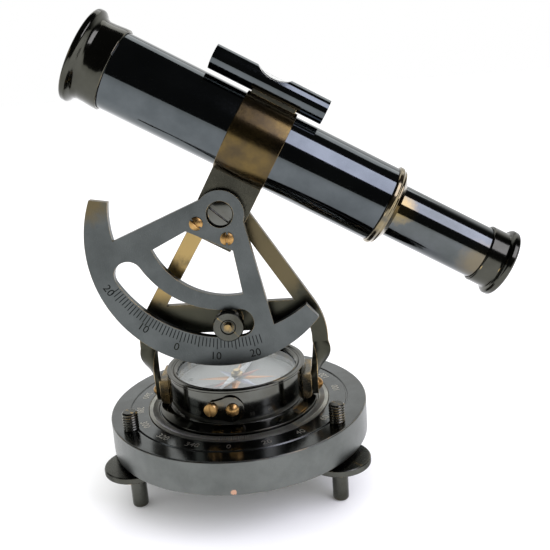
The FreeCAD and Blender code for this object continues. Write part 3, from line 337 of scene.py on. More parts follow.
def rubbed_patch(finish, centre_mm, reach_mm, fade_mm, ragged_mm, bare):
    """Lay the bare colour over a finish near one point, out to a ragged edge that fades over a short way."""
    tree = finish.node_tree
    shader = tree.nodes["Principled BSDF"]
    whole = shader.inputs["Base Color"].links[0].from_socket
    where = node(tree, "ShaderNodeTexCoord").outputs["Object"]
    away = node(tree, "ShaderNodeVectorMath", {"operation": "DISTANCE"},
                {0: where, 1: tuple(np.array(centre_mm) * MM)})
    ragged = node(tree, "ShaderNodeTexNoise", inputs={"Vector": where, "Scale": 1 / (ragged_mm * MM),
                                                      "Detail": 5.0})
    spread = node(tree, "ShaderNodeMath", {"operation": "MULTIPLY_ADD"},
                  {0: ragged.outputs["Fac"], 1: -3 * ragged_mm * MM, 2: away.outputs["Value"]})
    patch = node(tree, "ShaderNodeMapRange", inputs={"Value": spread.outputs[0],
                                                     "From Min": (reach_mm - 1.5 * ragged_mm + fade_mm) * MM,
                                                     "From Max": (reach_mm - 1.5 * ragged_mm) * MM})
    laid = node(tree, "ShaderNodeMix", {"data_type": "RGBA"}, {"Factor": patch.outputs["Result"], "A": whole,
                                                               "B": linear(bare)})
    tree.links.new(laid.outputs["Result"], shader.inputs["Base Color"])


# one chip low on the side shows the coppery metal under the black
rubbed_patch(base_side_finish, (2.0, -50, 20.6), reach_mm=0.9, fade_mm=0.2, ragged_mm=0.5, bare="#c09880")
groove = base_radius - 7.5
ring_seat_inner, ring_seat_outer, ring_seat_depth = 31.4, 35.4, 1.4
bore_radius, recess_radius, recess_depth = 6.05, 10, 2.6
disc_profile = rounded([(bore_radius, base_foot + recess_depth), (recess_radius, base_foot + recess_depth),
                        (recess_radius, base_foot), (base_radius, base_foot), (base_radius, base_top),
                        (groove + 0.45, base_top), (groove + 0.3, base_top - 0.45),
                        (groove - 0.3, base_top - 0.45), (groove - 0.45, base_top),
                        (ring_seat_outer, base_top), (ring_seat_outer, base_top - ring_seat_depth),
                        (ring_seat_inner, base_top - ring_seat_depth), (ring_seat_inner, base_top),
                        (bore_radius, base_top)], 0.55, closed=True)
disc = turned_piece("turned_base", disc_profile, CENTRE, 256, base_top_finish, "base", "base_plate").data
disc.materials.append(base_side_finish)
centres = np.empty(len(disc.polygons) * 3)
disc.polygons.foreach_get("center", centres)
reach_out = np.hypot(centres[0::3], centres[1::3])
disc.polygons.foreach_set("material_index", (reach_out > (base_radius - 0.3) * MM).astype(np.int32))
finish_nodes(base_top_finish, "thrust_washer")

# ------------------------------------------------------------------ azimuth scale
# A ring of brass let into the base round the compass, its top cut into fine even ribs. The numbers are
# stamped into the base outside it, where the bare metal shows pale.
ring_high = box_mm("azimuth_scale_ring")[1]
ring_outer, ring_top = ring_high[0], ring_high[2]
ring_inner = ring_outer - 3.8
ring_columns = 1440
ring_profile = rounded([(ring_inner, base_top - 1.2), (ring_inner, ring_top), (ring_inner + 2.3, ring_top),
                        (ring_inner + 2.5, ring_top - 0.08), (ring_outer, ring_top - 0.08),
                        (ring_outer, base_top - 1.2)], 0.06, closed=True)
ring_grid = turned(ring_profile, CENTRE, UP, EAST, ring_columns)
# ribs to the degree would be too fine to see, so there are 240, a degree and a half apart
gap_depth = np.tile((0, 0, 0.25, 0.5, 0.5, 0.25), ring_columns // 6)
ribbed_rows = (ring_profile[:, 1] > ring_top - 0.02) & (ring_profile[:, 0] > ring_inner + 0.15)
ring_grid[ribbed_rows, :, 2] -= gap_depth[None, :]
polished_rib = metal("blackened brass, rubbed bright", ("#b4b4aa", "#8c8c86"), "#d8c8a4",
                     roughness=0.42, grain_mm=0.4, wear=0.5, bump=0.1)
place_piece(mesh_from_grid("azimuth_degree_ring", ring_grid, True), "azimuth_degree_ring", polished_rib,
            "base", "azimuth_scale_ring")


def stamped(name, labels, height_mm, thickness_mm, finish, body):
    """Numbers as thin raised outlines. Each label is a text, its middle point, its right and its up way."""
    corners, triangles, offset = [], [], 0
    for text, middle, right_way, up_way in labels:
        curve = bpy.data.curves.new("stamp", "FONT")
        curve.body = text
        curve.size = height_mm * MM * 1.4
        curve.align_x, curve.align_y = "CENTER", "CENTER"
        curve.extrude = thickness_mm * MM / 2
        curve.resolution_u = 3
        holder = bpy.data.objects.new("stamp", curve)
        flat = bpy.data.meshes.new_from_object(holder)
        flat.calc_loop_triangles()
        raw = np.empty(len(flat.vertices) * 3)
        flat.vertices.foreach_get("co", raw)
        raw = raw.reshape(-1, 3)
        tri = np.empty(len(flat.loop_triangles) * 3, dtype=np.int32)
        flat.loop_triangles.foreach_get("vertices", tri)
        right_way, up_way = np.array(right_way, float), np.array(up_way, float)
        outward = np.cross(right_way, up_way)
        corners.append(np.array(middle) * MM + raw[:, :1] * right_way + raw[:, 1:2] * up_way
                       + raw[:, 2:] * outward)
        triangles.append(tri.reshape(-1, 3) + offset)
        offset += len(raw)
        bpy.data.objects.remove(holder)
        bpy.data.curves.remove(curve)
        bpy.data.meshes.remove(flat)
    mesh = bpy.data.meshes.new(name)
    mesh.from_pydata(np.vstack(corners).tolist(), [], np.vstack(triangles).tolist())
    work = bmesh.new()
    work.from_mesh(mesh)
    bmesh.ops.remove_doubles(work, verts=work.verts, dist=0.0005 * MM)
    work.to_mesh(mesh)
    work.free()
    return place_piece(mesh, name, finish, body)


stamp_black = metal("oxide in stamped marks", ("#18191a", "#26261f"), "#8b8064",
                    roughness=0.5, grain_mm=0.3, wear=0, bump=0.3)
stamp_light = metal("bare brass in stamped marks", ("#c9c6ba", "#aeaaa0"), "#d8c8a4",
                    roughness=0.4, grain_mm=0.3, wear=0, bump=0.2)
number_radius = 38.9
numbers = []
for count in range(18):
    angle = math.radians(270 + 20 * count)
    outward = np.array((math.cos(angle), math.sin(angle), 0))
    sideways = np.array((-math.sin(angle), math.cos(angle), 0))
    numbers.append((str(20 * count), outward * number_radius + np.array((0, 0, base_top + 0.02)),
                    sideways, -outward))
stamped("azimuth_numbers", numbers, height_mm=2.7, thickness_mm=0.06, finish=stamp_light, body="base")

# ------------------------------------------------------------------ levelling screws
# Three brass studs, screw-cut over their upper part and turned smooth below to a rounded foot. A thin wheel
# with a fine straight knurl is fixed on each under the base, to turn it by.
oiled_brass = metal("blackened brass, handled", ("#54554f", "#44443d"), "#a48a58",
                    roughness=0.24, grain_mm=0.4, wear=0.9, bump=0.15)


def knurl(count, depth, low, high):
    """Straight knurl: the radius falls by the depth at every other step between two stations."""
    def change(turn, station, radius):
        rim = (station > low) & (station < high) & (radius > 0.8 * radius.max())
        wave = np.abs(((turn * count / (2 * np.pi)) % 1) * 2 - 1)
        return np.where(rim, -depth * wave, 0.0)
    return change


def thread(pitch, depth, low, high):
    """Screw thread: a triangle wave in station / pitch - turn / full turn, faded out at both ends."""
    def change(turn, station, radius):
        wave = np.abs(((station / pitch - turn / (2 * np.pi)) % 1) * 2 - 1)
        fade = np.clip((station - low) / pitch, 0, 1) * np.clip((high - station) / pitch, 0, 1)
        return np.where(radius > 0.5 * radius.max(), -depth * wave * fade, 0.0)
    return change


foot_flat = 1.8
for place in ("front_left", "front_right", "back"):
    stud_low, stud_high = box_mm("levelling_screw_" + place)
    wheel_low, wheel_high = box_mm("levelling_wheel_" + place)
    x, y = (stud_low[:2] + stud_high[:2]) / 2
    radius = (stud_high[0] - stud_low[0]) / 2
    bend = np.linspace(0, np.pi / 2, 7)
    foot_profile = np.stack((foot_flat + (radius - foot_flat) * np.sin(bend),
                             (radius - foot_flat) * (1 - np.cos(bend))), axis=1)
    shank_rows = np.arange(wheel_high[2] + 1.0, stud_high[2] - 0.5, 0.14)
    stud_profile = np.vstack(([(0, 0), (1.2, 0)], foot_profile, [(radius, 3), (radius, wheel_high[2] + 0.5)],
                              np.stack((np.full(len(shank_rows), radius), shank_rows), axis=1),
                              rounded([(radius, stud_high[2] - 0.5), (radius - 0.1, stud_high[2] - 0.4),
                                       (radius - 0.6, stud_high[2]), (0, stud_high[2])], 0.12)))
    turned_piece("stud_" + place, stud_profile, (x, y, 0), 40, oiled_brass, "screw_" + place,
                 "levelling_screw_" + place, wrap_rows=False,
                 change=thread(pitch=1.0, depth=0.42, low=wheel_high[2] + 0.8, high=stud_high[2] - 0.2))
    rim = (wheel_high[0] - wheel_low[0]) / 2
    low, high = wheel_low[2], wheel_high[2]
    wheel_profile = rounded([(radius - 0.05, low), (rim - 0.35, low), (rim, low + 0.35), (rim, high - 0.35),
                             (rim - 0.35, high), (radius - 0.05, high)], 0.12, closed=True)
    turned_piece("wheel_" + place, wheel_profile, (x, y, 0), 240, oiled_brass, "screw_" + place,
                 "levelling_wheel_" + place,
                 change=knurl(count=120, depth=0.22, low=low + 0.2, high=high - 0.2))

# ------------------------------------------------------------------ compass drum
# Turned from one brass casting: a polished sloping foot, a plain wall and a rim that a ring snaps into.
# It is blackened and kept glossy, a little browner than the base.
drum_black = metal("blackened brass, polished", ("#5f605b", "#4e4d46"), "#a48a5c",
                   roughness=0.1, grain_mm=0.5, wear=0.9, bump=0.04)
bezel_low, bezel_high = box_mm("compass_bezel")
rim_radius, rim_top, wall_top = bezel_high[0], bezel_high[2], bezel_low[2]
bore = rim_radius - 2.5
bezel_profile = rounded([(rim_radius, wall_top), (rim_radius, rim_top), (rim_radius - 1.5, rim_top),
                         (rim_radius - 1.7, rim_top - 0.45), (bore + 0.2, rim_top - 0.45),
                         (bore + 0.2, wall_top)], 0.16, closed=True)
turned_piece("bezel", bezel_profile, CENTRE, 128, drum_black, "alidade", "compass_bezel")
drum_low = box_mm("compass_housing")[0]
foot_radius, foot_z = -drum_low[0], drum_low[2]
ledge, floor = box_mm("compass_card")[0][2], foot_z + 2.7
drum_profile = rounded([(0, foot_z), (foot_radius, foot_z), (foot_radius, foot_z + 0.6),
                        (rim_radius + 0.6, foot_z + 1.9), (rim_radius, foot_z + 2.1), (rim_radius, wall_top),
                        (bore, wall_top), (bore, ledge), (bore - 1.4, ledge), (bore - 1.4, floor),
                        (0, floor)], 0.15)
turned_piece("compass_drum", drum_profile, CENTRE, 160, drum_black, "alidade", "compass_housing",
             wrap_rows=False)
keep_low, keep_high = box_mm("glass_keep_ring")
keep_profile = rounded([(bore - 0.1, keep_low[2]), (bore - 0.1, keep_high[2]), (bore - 0.7, keep_high[2]),
                        (bore - 1.5, keep_low[2] + 0.5), (bore - 1.5, keep_low[2])], 0.15, closed=True)
turned_piece("keep_ring", keep_profile, CENTRE, 128, drum_black, "alidade", "glass_keep_ring")
finish_nodes(drum_black, "glass_seat_ring", "azimuth_spindle", "keeper_washer", "keeper_screw_centre")

# ------------------------------------------------------------------ compass card
# Matt coated card, printed with a rose of eight points in orange, pink and blue, a ring of degree marks and
# plain letters, lying on a ledge under the glass.
def printed(name, colour, speck, roughness=0.55):
    """Printed paper: the ink's tone broken by fine specks, with the paper's tooth in its relief."""
    made, tree, shader = new_material(name)
    where = node(tree, "ShaderNodeTexCoord").outputs["Object"]
    tooth = node(tree, "ShaderNodeTexNoise", inputs={"Vector": where, "Scale": 1 / (0.3 * MM), "Detail": 4.0})
    stain = node(tree, "ShaderNodeTexNoise", inputs={"Vector": where, "Scale": 1 / (8 * MM), "Detail": 3.0})
    amount = node(tree, "ShaderNodeMath", {"operation": "MULTIPLY"},
                  {0: tooth.outputs["Fac"], 1: stain.outputs["Fac"]})
    ink = node(tree, "ShaderNodeMix", {"data_type": "RGBA"},
               {"Factor": amount.outputs[0], "A": linear(colour), "B": linear(speck)})
    relief = node(tree, "ShaderNodeBump", inputs={"Height": tooth.outputs["Fac"], "Strength": 0.2,
                                                  "Distance": 0.02 * MM})
    tree.links.new(ink.outputs["Result"], shader.inputs["Base Color"])
    tree.links.new(relief.outputs[0], shader.inputs["Normal"])
    shader.inputs["Roughness"].default_value = roughness
    return made


card_paper = printed("coated card, pale grey", "#a3a6a5", "#8c8a84")
finish_nodes(card_paper, "compass_card")
card_top = box_mm("compass_card")[1][2]
card_edge = box_mm("glass_seat_ring")[1][0] - 1.5
print_low, print_high = card_top + 0.01, card_top + 0.03


def flat_print(name, outlines, finish):
    """Thin raised print: each outline of (x, y) corners becomes a thin slab standing on the card."""
    corners, faces = [], []
    for outline in outlines:
        ring = np.array(outline, float)
        size, first = len(ring), len(corners)
        low = np.column_stack((ring, np.full(size, print_low)))
        high = np.column_stack((ring, np.full(size, print_high)))
        corners += low.tolist() + high.tolist()
        faces += [tuple(range(first + size, first + 2 * size)), tuple(range(first + size - 1, first - 1, -1))]
        faces += [(first + i, first + (i + 1) % size, first + size + (i + 1) % size, first + size + i)
                  for i in range(size)]
    mesh = bpy.data.meshes.new(name)
    mesh.from_pydata((np.array(corners) * MM).tolist(), [], faces)
    return place_piece(mesh, name, finish, "alidade")


def spot(radius, degrees):
    """Point on the card at a radius and a clockwise bearing from the +Y side."""
    return (radius * math.sin(math.radians(degrees)), radius * math.cos(math.radians(degrees)))


rose_tones = {"orange": ("#d9a069", "#b07f4a"), "pink": ("#cda39c", "#a97c78"),
              "blue": ("#9fb0c6", "#748aa6")}
rose_arms = (("orange", (0, 90, 180, 270), 15.5), ("pink", (45, 225), 12.0), ("blue", (135, 315), 12.0))
hub_edge, arm_shoulder, arm_spread = 2.4, 4.6, 22.5
for tone, bearings, reach in rose_arms:
    light_tone, full_tone = rose_tones[tone]
    light_half = [[spot(hub_edge, b), spot(arm_shoulder, b - arm_spread), spot(reach, b)] for b in bearings]
    dark_half = [[spot(hub_edge, b), spot(reach, b), spot(arm_shoulder, b + arm_spread)] for b in bearings]
    flat_print("rose_%s_light" % tone, light_half, printed("%s ink" % tone, light_tone, "#e8d8c8"))
    flat_print("rose_%s_dark" % tone, dark_half, printed("%s ink, full" % tone, full_tone, "#c8a898"))
black_ink = printed("black ink", "#3a3836", "#5a5650")
marks = []
for degrees in range(0, 360, 5):
    length = 2.2 if degrees % 30 == 0 else 1.3
    half = math.degrees(0.09 / card_edge)
    outer = card_edge - 0.5
    marks.append([spot(outer, degrees - half), spot(outer, degrees + half),
                  spot(outer - length, degrees + half), spot(outer - length, degrees - half)])
flat_print("card_degree_marks", marks, black_ink)
letters = []
for text, degrees in (("N", 0), ("E", 90), ("S", 180), ("W", 270)):
    x, y = spot(card_edge - 4.6, degrees)
    along, sine = math.cos(math.radians(degrees)), math.sin(math.radians(degrees))
    letters.append((text, (x, y, card_top + 0.04), (along, -sine, 0), (sine, along, 0)))
stamped("card_letters", letters, height_mm=2.3, thickness_mm=0.04, finish=black_ink, body="alidade")

# ------------------------------------------------------------------ needle and glass
# A ground steel needle with a turned brass cap that swings on a steel point, under a plain disc of glass. The
# glass is drawn as a thin mirror, faint from in front and strong at a slant, as real glass reflects.
steel = metal("ground steel", ("#c9ccd0", "#b4b8bd"), "#eceff2",
              roughness=0.2, grain_mm=0.3, wear=0.8, bump=0.1, grain_stretch=(1, 6, 1))
bare_brass = metal("brass, polished bare", ("#bf9a62", "#9c7644"), "#f0d6a0",
                   roughness=0.36, grain_mm=0.4, wear=0.3, bump=0.1)
pale_brass = metal("brass, turned bright", ("#f3deb0", "#e2c58c"), "#fff0c8",
                   roughness=0.4, grain_mm=0.4, wear=0.3, bump=0.1)
finish_nodes(steel, "compass_needle", "needle_post")
cap_low, cap_high = box_mm("needle_cap")
cap_radius = cap_high[0]
cap_profile = rounded([(1.55, cap_low[2]), (cap_radius, cap_low[2]), (cap_radius, cap_low[2] + 0.7),
                       (cap_radius - 0.8, cap_low[2] + 1.0), (cap_radius - 0.9, cap_high[2] - 0.1),
                       (0, cap_high[2])], 0.18)
cap_profile = np.vstack((cap_profile, [(0, cap_low[2] + 1.2), (1.55, cap_low[2] + 1.2)]))
turned_piece("needle_hub", cap_profile, CENTRE, 48, pale_brass, "needle", "needle_cap")

glass, tree, shader = new_material("float glass")
facing = node(tree, "ShaderNodeLayerWeight", inputs={"Blend": 0.5}).outputs["Facing"]
steep = node(tree, "ShaderNodeMath", {"operation": "POWER"}, {0: facing, 1: 5.0})
mirror = node(tree, "ShaderNodeMapRange", inputs={"Value": steep.outputs[0], "To Min": 0.03, "To Max": 1.0})
where = node(tree, "ShaderNodeTexCoord").outputs["Object"]
smear = node(tree, "ShaderNodeTexNoise", inputs={"Vector": where, "Scale": 1 / (9 * MM), "Detail": 4.0})
film = node(tree, "ShaderNodeMapRange", inputs={"Value": smear.outputs["Fac"], "From Min": 0.35,
                                                "From Max": 0.75, "To Min": 0.0, "To Max": 0.05})
cover = node(tree, "ShaderNodeMath", {"operation": "ADD", "use_clamp": True},
             {0: mirror.outputs["Result"], 1: film.outputs["Result"]})
shine = node(tree, "ShaderNodeMapRange", inputs={"Value": smear.outputs["Fac"], "To Min": 0.01,
                                                 "To Max": 0.08})
tree.links.new(cover.outputs[0], shader.inputs["Alpha"])
tree.links.new(shine.outputs["Result"], shader.inputs["Roughness"])
shader.inputs["Base Color"].default_value = linear("#f4fafa")
shader.inputs["Metallic"].default_value = 1.0
finish_nodes(glass, "compass_glass", "level_vial")

# ------------------------------------------------------------------ lugs and cover plate
# Two square brass blocks soldered to the drum carry the A-frame, each with a domed brass screw. A pear-shaped
# plate on the front covers the needle's clamp, held by a slotted cheese-head screw and a round-head screw.
for side in ("left", "right"):
    softened(side + "_block", side + "_lug", oiled_brass, worn_edge, "alidade", width_mm=0.3)
softened("pear_plate", "cover_plate", drum_black, worn_edge, "alidade", width_mm=0.15)


def slotted_head(radius, edge, rise, slot_width, slot_depth, centre, outward, slot_way, bury):
    """Screw head as a height over chords of a disc, closed by its flat underside.

    Height = edge + rise * (1 - (distance / radius) squared), less the slot's depth inside the slot's width.
    Each chord's last point falls to the edge's foot.
    """
    half = slot_width / 2 / radius
    fine = 0.02 / radius
    right_side = np.concatenate(([half * 0.5, half - fine, half + fine],
                                 np.sin(np.linspace(math.asin(half + 2 * fine), np.pi / 2, 12))))
    u = np.concatenate((-right_side[::-1], [0.0], right_side))
    v = np.sin(np.linspace(-np.pi / 2, np.pi / 2, 25))
    v = np.concatenate((v, [1.0]))
    across = np.repeat(u[:, None], len(v), axis=1)
    chord = np.sqrt(np.clip(1 - across ** 2, 0, 1)) * v[None, :]
    distance = np.clip(across ** 2 + chord ** 2, 0, 1)
    top_sheet = edge + rise * (1 - distance) - np.where(np.abs(across) < half, slot_depth, 0.0)
    top_sheet[:, -1] = -bury
    low_sheet = np.full_like(across, -bury)
    x = np.hstack((across, across[:, ::-1])) * radius
    y = np.hstack((chord, chord[:, ::-1])) * radius
    z = np.hstack((top_sheet, low_sheet))
    outward, slot_way = np.array(outward, float), np.array(slot_way, float)
    side_way = np.cross(slot_way, outward)
    return (np.array(centre, float) + x[..., None] * side_way + y[..., None] * slot_way
            + z[..., None] * outward)


def head_piece(name, body, cad_node, finish, **shape):
    """Closed screw head: rows wrap from the top sheet round to the underside."""
    mesh = mesh_from_grid(name, slotted_head(**shape), False)
    return place_piece(mesh, name, finish, body, *([cad_node] if cad_node else []))


for side, sign in (("left", -1), ("right", 1)):
    low, high = box_mm(side + "_lug_screw")
    centre = (low + high) / 2
    radius = (high[2] - low[2]) / 2
    seat = (high[0] if sign > 0 else low[0]) - sign * 1.9
    head_piece(side + "_dome_screw", "alidade", side + "_lug_screw", bare_brass, radius=radius, edge=0.25,
               rise=1.65, slot_width=0.8, slot_depth=0.7, centre=(seat, centre[1], centre[2]),
               outward=(sign, 0, 0), slot_way=(0, 0.6, 0.8), bury=3.0)
plate_bearing, screw_spacing, plate_thickness = math.radians(264), 7.6, 1.1
for name, edge, rise, slot_depth in (("slotted", 1.2, 0.25, 0.7), ("domed", 0.5, 1.45, 0.0)):
    low, high = box_mm(name + "_plate_screw")
    bearing = plate_bearing + (-1 if name == "slotted" else 1) * screw_spacing / 2 / rim_radius
    outward = np.array((math.cos(bearing), math.sin(bearing), 0))
    seat_point = outward * (rim_radius + plate_thickness + 0.05)
    seat_point[2] = (low[2] + high[2]) / 2
    head_piece(name + "_head_screw", "alidade", name + "_plate_screw", bare_brass, radius=2.4, edge=edge,
               rise=rise, slot_width=0.75, slot_depth=slot_depth, centre=seat_point, outward=outward,
               slot_way=(0, 0, 1), bury=1.6)

# ------------------------------------------------------------------ A-frame
# Cut and bent from brass bar, twisted at the foot to lie flat on the lugs. The blackening is worn through to
# brass in patches, and on the upper left leg the patches are painted strong, a painted reflection that
# brightens that leg.
frame_finish, tree, shader = new_material("blackened brass, worn through, with painted sheen")
where = node(tree, "ShaderNodeTexCoord").outputs["Object"]
broad = node(tree, "ShaderNodeTexNoise", inputs={"Vector": where, "Scale": 1 / (16 * MM), "Detail": 6.0,
                                                 "Roughness": 0.55})
place_split = node(tree, "ShaderNodeSeparateXYZ", inputs={0: where})
high_up = node(tree, "ShaderNodeMapRange", {"interpolation_type": "SMOOTHSTEP"},
               {"Value": place_split.outputs["Z"], "From Min": 70 * MM, "From Max": 82 * MM})
# painted reflection: by position alone, the upper left leg gets strong brass patches and the right leg weak
# ones
on_left = node(tree, "ShaderNodeMapRange", {"interpolation_type": "SMOOTHSTEP"},
               {"Value": place_split.outputs["X"], "From Min": 4 * MM, "From Max": -6 * MM, "To Min": 0.15,
                "To Max": 0.85})
# this mask marks where the painted reflection goes, the upper left leg, not where hands have worn the metal
handled = node(tree, "ShaderNodeMath", {"operation": "MULTIPLY"},
               {0: high_up.outputs["Result"], 1: on_left.outputs["Result"]})
bare = node(tree, "ShaderNodeMapRange", {"interpolation_type": "SMOOTHSTEP"},
            {"Value": broad.outputs["Fac"], "From Min": 0.36, "From Max": 0.52})
bare_and_painted_sheen = node(tree, "ShaderNodeMath", {"operation": "MULTIPLY"},
                 {0: handled.outputs[0], 1: bare.outputs["Result"]})
dark_tone = node(tree, "ShaderNodeMix", {"data_type": "RGBA"},
                 {"Factor": broad.outputs["Fac"], "A": linear("#2f302a"), "B": linear("#4d4c40")})
worn_and_sheen_tone = node(tree, "ShaderNodeMix", {"data_type": "RGBA"},
                 {"Factor": bare_and_painted_sheen.outputs[0], "A": dark_tone.outputs["Result"], "B": linear("#b49a63")})
grain = node(tree, "ShaderNodeTexNoise", inputs={"Vector": where, "Scale": 1 / (0.5 * MM), "Detail": 4.0})
gloss = node(tree, "ShaderNodeMapRange", inputs={"Value": grain.outputs["Fac"], "To Min": 0.22,
                                                 "To Max": 0.4})
relief = node(tree, "ShaderNodeBump", inputs={"Height": grain.outputs["Fac"], "Strength": 0.15,
                                              "Distance": 0.02 * MM})
tree.links.new(worn_and_sheen_tone.outputs["Result"], shader.inputs["Base Color"])
tree.links.new(gloss.outputs["Result"], shader.inputs["Roughness"])
tree.links.new(relief.outputs[0], shader.inputs["Normal"])
shader.inputs["Metallic"].default_value = 1.0
softened("bent_frame", "a_frame", frame_finish, worn_edge, "alidade", width_mm=0.22)
finish_nodes(oiled_brass, "pivot_spacer", "pivot_nut")

# ------------------------------------------------------------------ sector plate
# Sawn and filed from brass plate, its face grained flat and blackened. The degree marks and numbers are cut
# into it below the slot, and its edges are broken with a file.
grained_black = metal("blackened brass, grained flat", ("#5c605f", "#4f5352"), "#a89064",
                      roughness=0.33, grain_mm=0.35, wear=0, bump=0.2)
softened("graded_sector", "sector_plate", grained_black, worn_edge, "telescope", width_mm=0.15)
tilt_joint = next(joint for joint in frame["record"]["behaviour"]["joints"] if joint["name"] == "tilt")
pivot = np.array(tilt_joint["pos_m"]) / MM
pivot_line = pivot * (1, 0, 1)
dip = math.radians(30)
tube_way = np.array((math.cos(dip), 0, -math.sin(dip)))
lift_way = np.array((math.sin(dip), 0, math.cos(dip)))
sector_face = box_mm("sector_plate")[0][1]
slot_edge = 47.0
rubbed_patch(grained_black, (-48.5, sector_face, 119), reach_mm=6, fade_mm=7, ragged_mm=2.5, bare="#6a6048")


def on_sector(radius, degrees, proud):
    """Point over the sector's face, the angle from straight away from the tube, + towards the eyepiece."""
    turn = np.radians(degrees)
    flat = (radius * np.sin(turn))[:, None] * tube_way - (radius * np.cos(turn))[:, None] * lift_way
    flat = flat + pivot_line
    flat[:, 1] = sector_face - proud
    return flat


corners, faces = [], []
inner, half = slot_edge + 0.5, 0.17
for count in range(45):
    degrees = -27.2 + 1.6 * count
    outer = inner + (4.3 if count % 5 == 2 else 3.6)
    spread = np.degrees(np.array((-half / inner, half / inner, half / outer, -half / outer)))
    for proud in (-0.05, 0.025):
        corners.append(on_sector(np.array((inner, inner, outer, outer)), degrees + spread, proud))
    first = 8 * (len(corners) // 2 - 1)
    faces += [(first + 4, first + 5, first + 6, first + 7), (first + 3, first + 2, first + 1, first)]
    faces += [(first + i, first + (i + 1) % 4, first + 4 + (i + 1) % 4, first + 4 + i) for i in range(4)]
ticks = bpy.data.meshes.new("sector_degree_marks")
ticks.from_pydata((np.vstack(corners) * MM).tolist(), [], faces)
work = bmesh.new()
work.from_mesh(ticks)
bmesh.ops.recalc_face_normals(work, faces=work.faces)
work.to_mesh(ticks)
work.free()
place_piece(ticks, "sector_degree_marks", stamp_black, "telescope")
labels = []
sector_readings = (("20", -29, 51.2), ("10", -8, 52.9), ("0", 7.4, 54.0), ("10", 23.6, 54.6),
                   ("20", 39.5, 54.4))
for text, degrees, reach in sector_readings:
    turn = math.radians(degrees)
    away = math.sin(turn) * tube_way - math.cos(turn) * lift_way
    reading = math.cos(turn) * tube_way + math.sin(turn) * lift_way
    labels.append((text, pivot_line + away * reach + np.array((0, sector_face, 0)), reading, -away))
stamped("sector_numbers", labels, height_mm=3.1, thickness_mm=0.06, finish=stamp_black, body="telescope")
screw_side, screw_drop, forward = 6.2, 6.9, (0, -1, 0)
for end, sign, slot_turn, stood_for in (("front", -1, -15, "sector_screws"), ("rear", 1, 115, None)):
    centre = pivot_line + tube_way * sign * screw_side - lift_way * screw_drop
    slot_way = math.cos(math.radians(slot_turn)) * tube_way + math.sin(math.radians(slot_turn)) * lift_way
    head_piece("sector_head_screw_" + end, "telescope", stood_for, bare_brass, radius=2.45, edge=0.45,
               rise=0.85, slot_width=0.8, slot_depth=0.95,
               centre=centre + np.array((0, sector_face - 0.02, 0)), outward=forward, slot_way=slot_way,
               bury=1.0)

# ------------------------------------------------------------------ pivot screw
# A broad cheese-head screw of blackened brass, sunk in the sector's round hole, with a wide slot. It clamps
# the bracket to the A-frame and carries a nut behind.
head_sunk, slot_slope = 2.7, math.radians(-42)
head_foot = sector_face + head_sunk
head_piece("pivot_head_screw", "alidade", "pivot_screw", drum_black, radius=4.45, edge=1.35, rise=0.25,
           slot_width=1.9, slot_depth=1.1, centre=(pivot[0], head_foot, pivot[2]), outward=forward,
           slot_way=(math.cos(slot_slope), 0, math.sin(slot_slope)), bury=0.0)
shank_profile = rounded([(0, 0), (2.45, 0), (2.45, 13.3), (2.1, 13.7), (0, 13.7)], 0.1)
shank = turned(shank_profile, (pivot[0], head_foot - 0.4, pivot[2]), (0, 1, 0), EAST, 32)
place_piece(mesh_from_grid("pivot_shank", shank, False), "pivot_shank", oiled_brass, "alidade")

# ------------------------------------------------------------------ bracket and clamp band
# The bracket is a flat brass block filed to the tube, and the band is sheet brass soldered round it. Heat has
# coloured them an olive brown that was left glossy.
olive_bronze = metal("brass, heat browned", ("#655534", "#4b4130"), "#d6ba84",
                     roughness=0.2, grain_mm=0.5, wear=1.0, bump=0.06, cloud_mm=9.0)
dark_olive = metal("brass, browned dark", ("#47463d", "#393932"), "#b09a66",
                   roughness=0.3, grain_mm=0.5, wear=0, bump=0.15)
softened("pivot_bracket", "bracket", dark_olive, worn_edge, "telescope", width_mm=0.25)
softened("level_foot", "level_saddle", dark_olive, worn_edge, "telescope", width_mm=0.2)


tube_middle = sum(box_mm("clamp_band")) / 2


def tube_piece(name, corners, rounding, finish, body, stands_for):
    """Piece turned about the tube's axis from an outline of (radius, station past the band's middle)."""
    grid = turned(rounded(corners, rounding, closed=True), tube_middle, tube_way, lift_way, 128)
    return place_piece(mesh_from_grid(name, grid, True), name, finish, body, stands_for)


tube_piece("tube_band", [(14.02, -9.5), (15, -9.5), (15, 9.5), (14.02, 9.5)], 0.22, olive_bronze, "telescope",
           "clamp_band")

# ------------------------------------------------------------------ telescope
# Drawn brass tube, polished and blackened to a blue black mirror. The cell, the joint ring and the eyepiece
# are turned, and the joint ring has rubbed back to brass.
mirror_black = metal("blackened brass, mirror polish", ("#585d5f", "#4c5153"), "#a08a60",
                     roughness=0.07, grain_mm=0.8, wear=0, bump=0.03)
cell_black = metal("blackened brass, turned bright", ("#4b4b44", "#3d3d37"), "#b09a6c",
                   roughness=0.13, grain_mm=0.4, wear=1.0, bump=0.05)
ring_brass = metal("brass, rubbed through", ("#8f8264", "#5f5b50"), "#e6d0a4",
                   roughness=0.14, grain_mm=0.4, wear=1.0, bump=0.05, cloud_mm=6.0)
tube_piece("body_tube", [(12.8, -55.9), (14, -55.9), (14, 50.4), (12.8, 50.4)], 0.2, mirror_black,
           "telescope", "main_tube")
tube_piece("object_cell", [(12.85, -67.7), (16.0, -67.7), (17, -67.1), (17, -65.4), (16.2, -64.7),
                           (15.0, -63.8), (14.45, -62.4), (14.55, -60.0), (14.9, -56.4), (14.9, -54.7),
                           (14.02, -54.7), (14.02, -55.95), (12.85, -55.95)], 0.5, cell_black, "telescope",
           "objective_cell")
tube_piece("joint_collar", [(9.9, 50.45), (14.3, 50.45), (14.8, 50.8), (14.8, 52.0), (14.3, 52.5),
                            (14.1, 52.8), (14.1, 53.3), (10.9, 55.2), (9.9, 55.2)], 0.3, ring_brass,
           "telescope", "joint_ring")
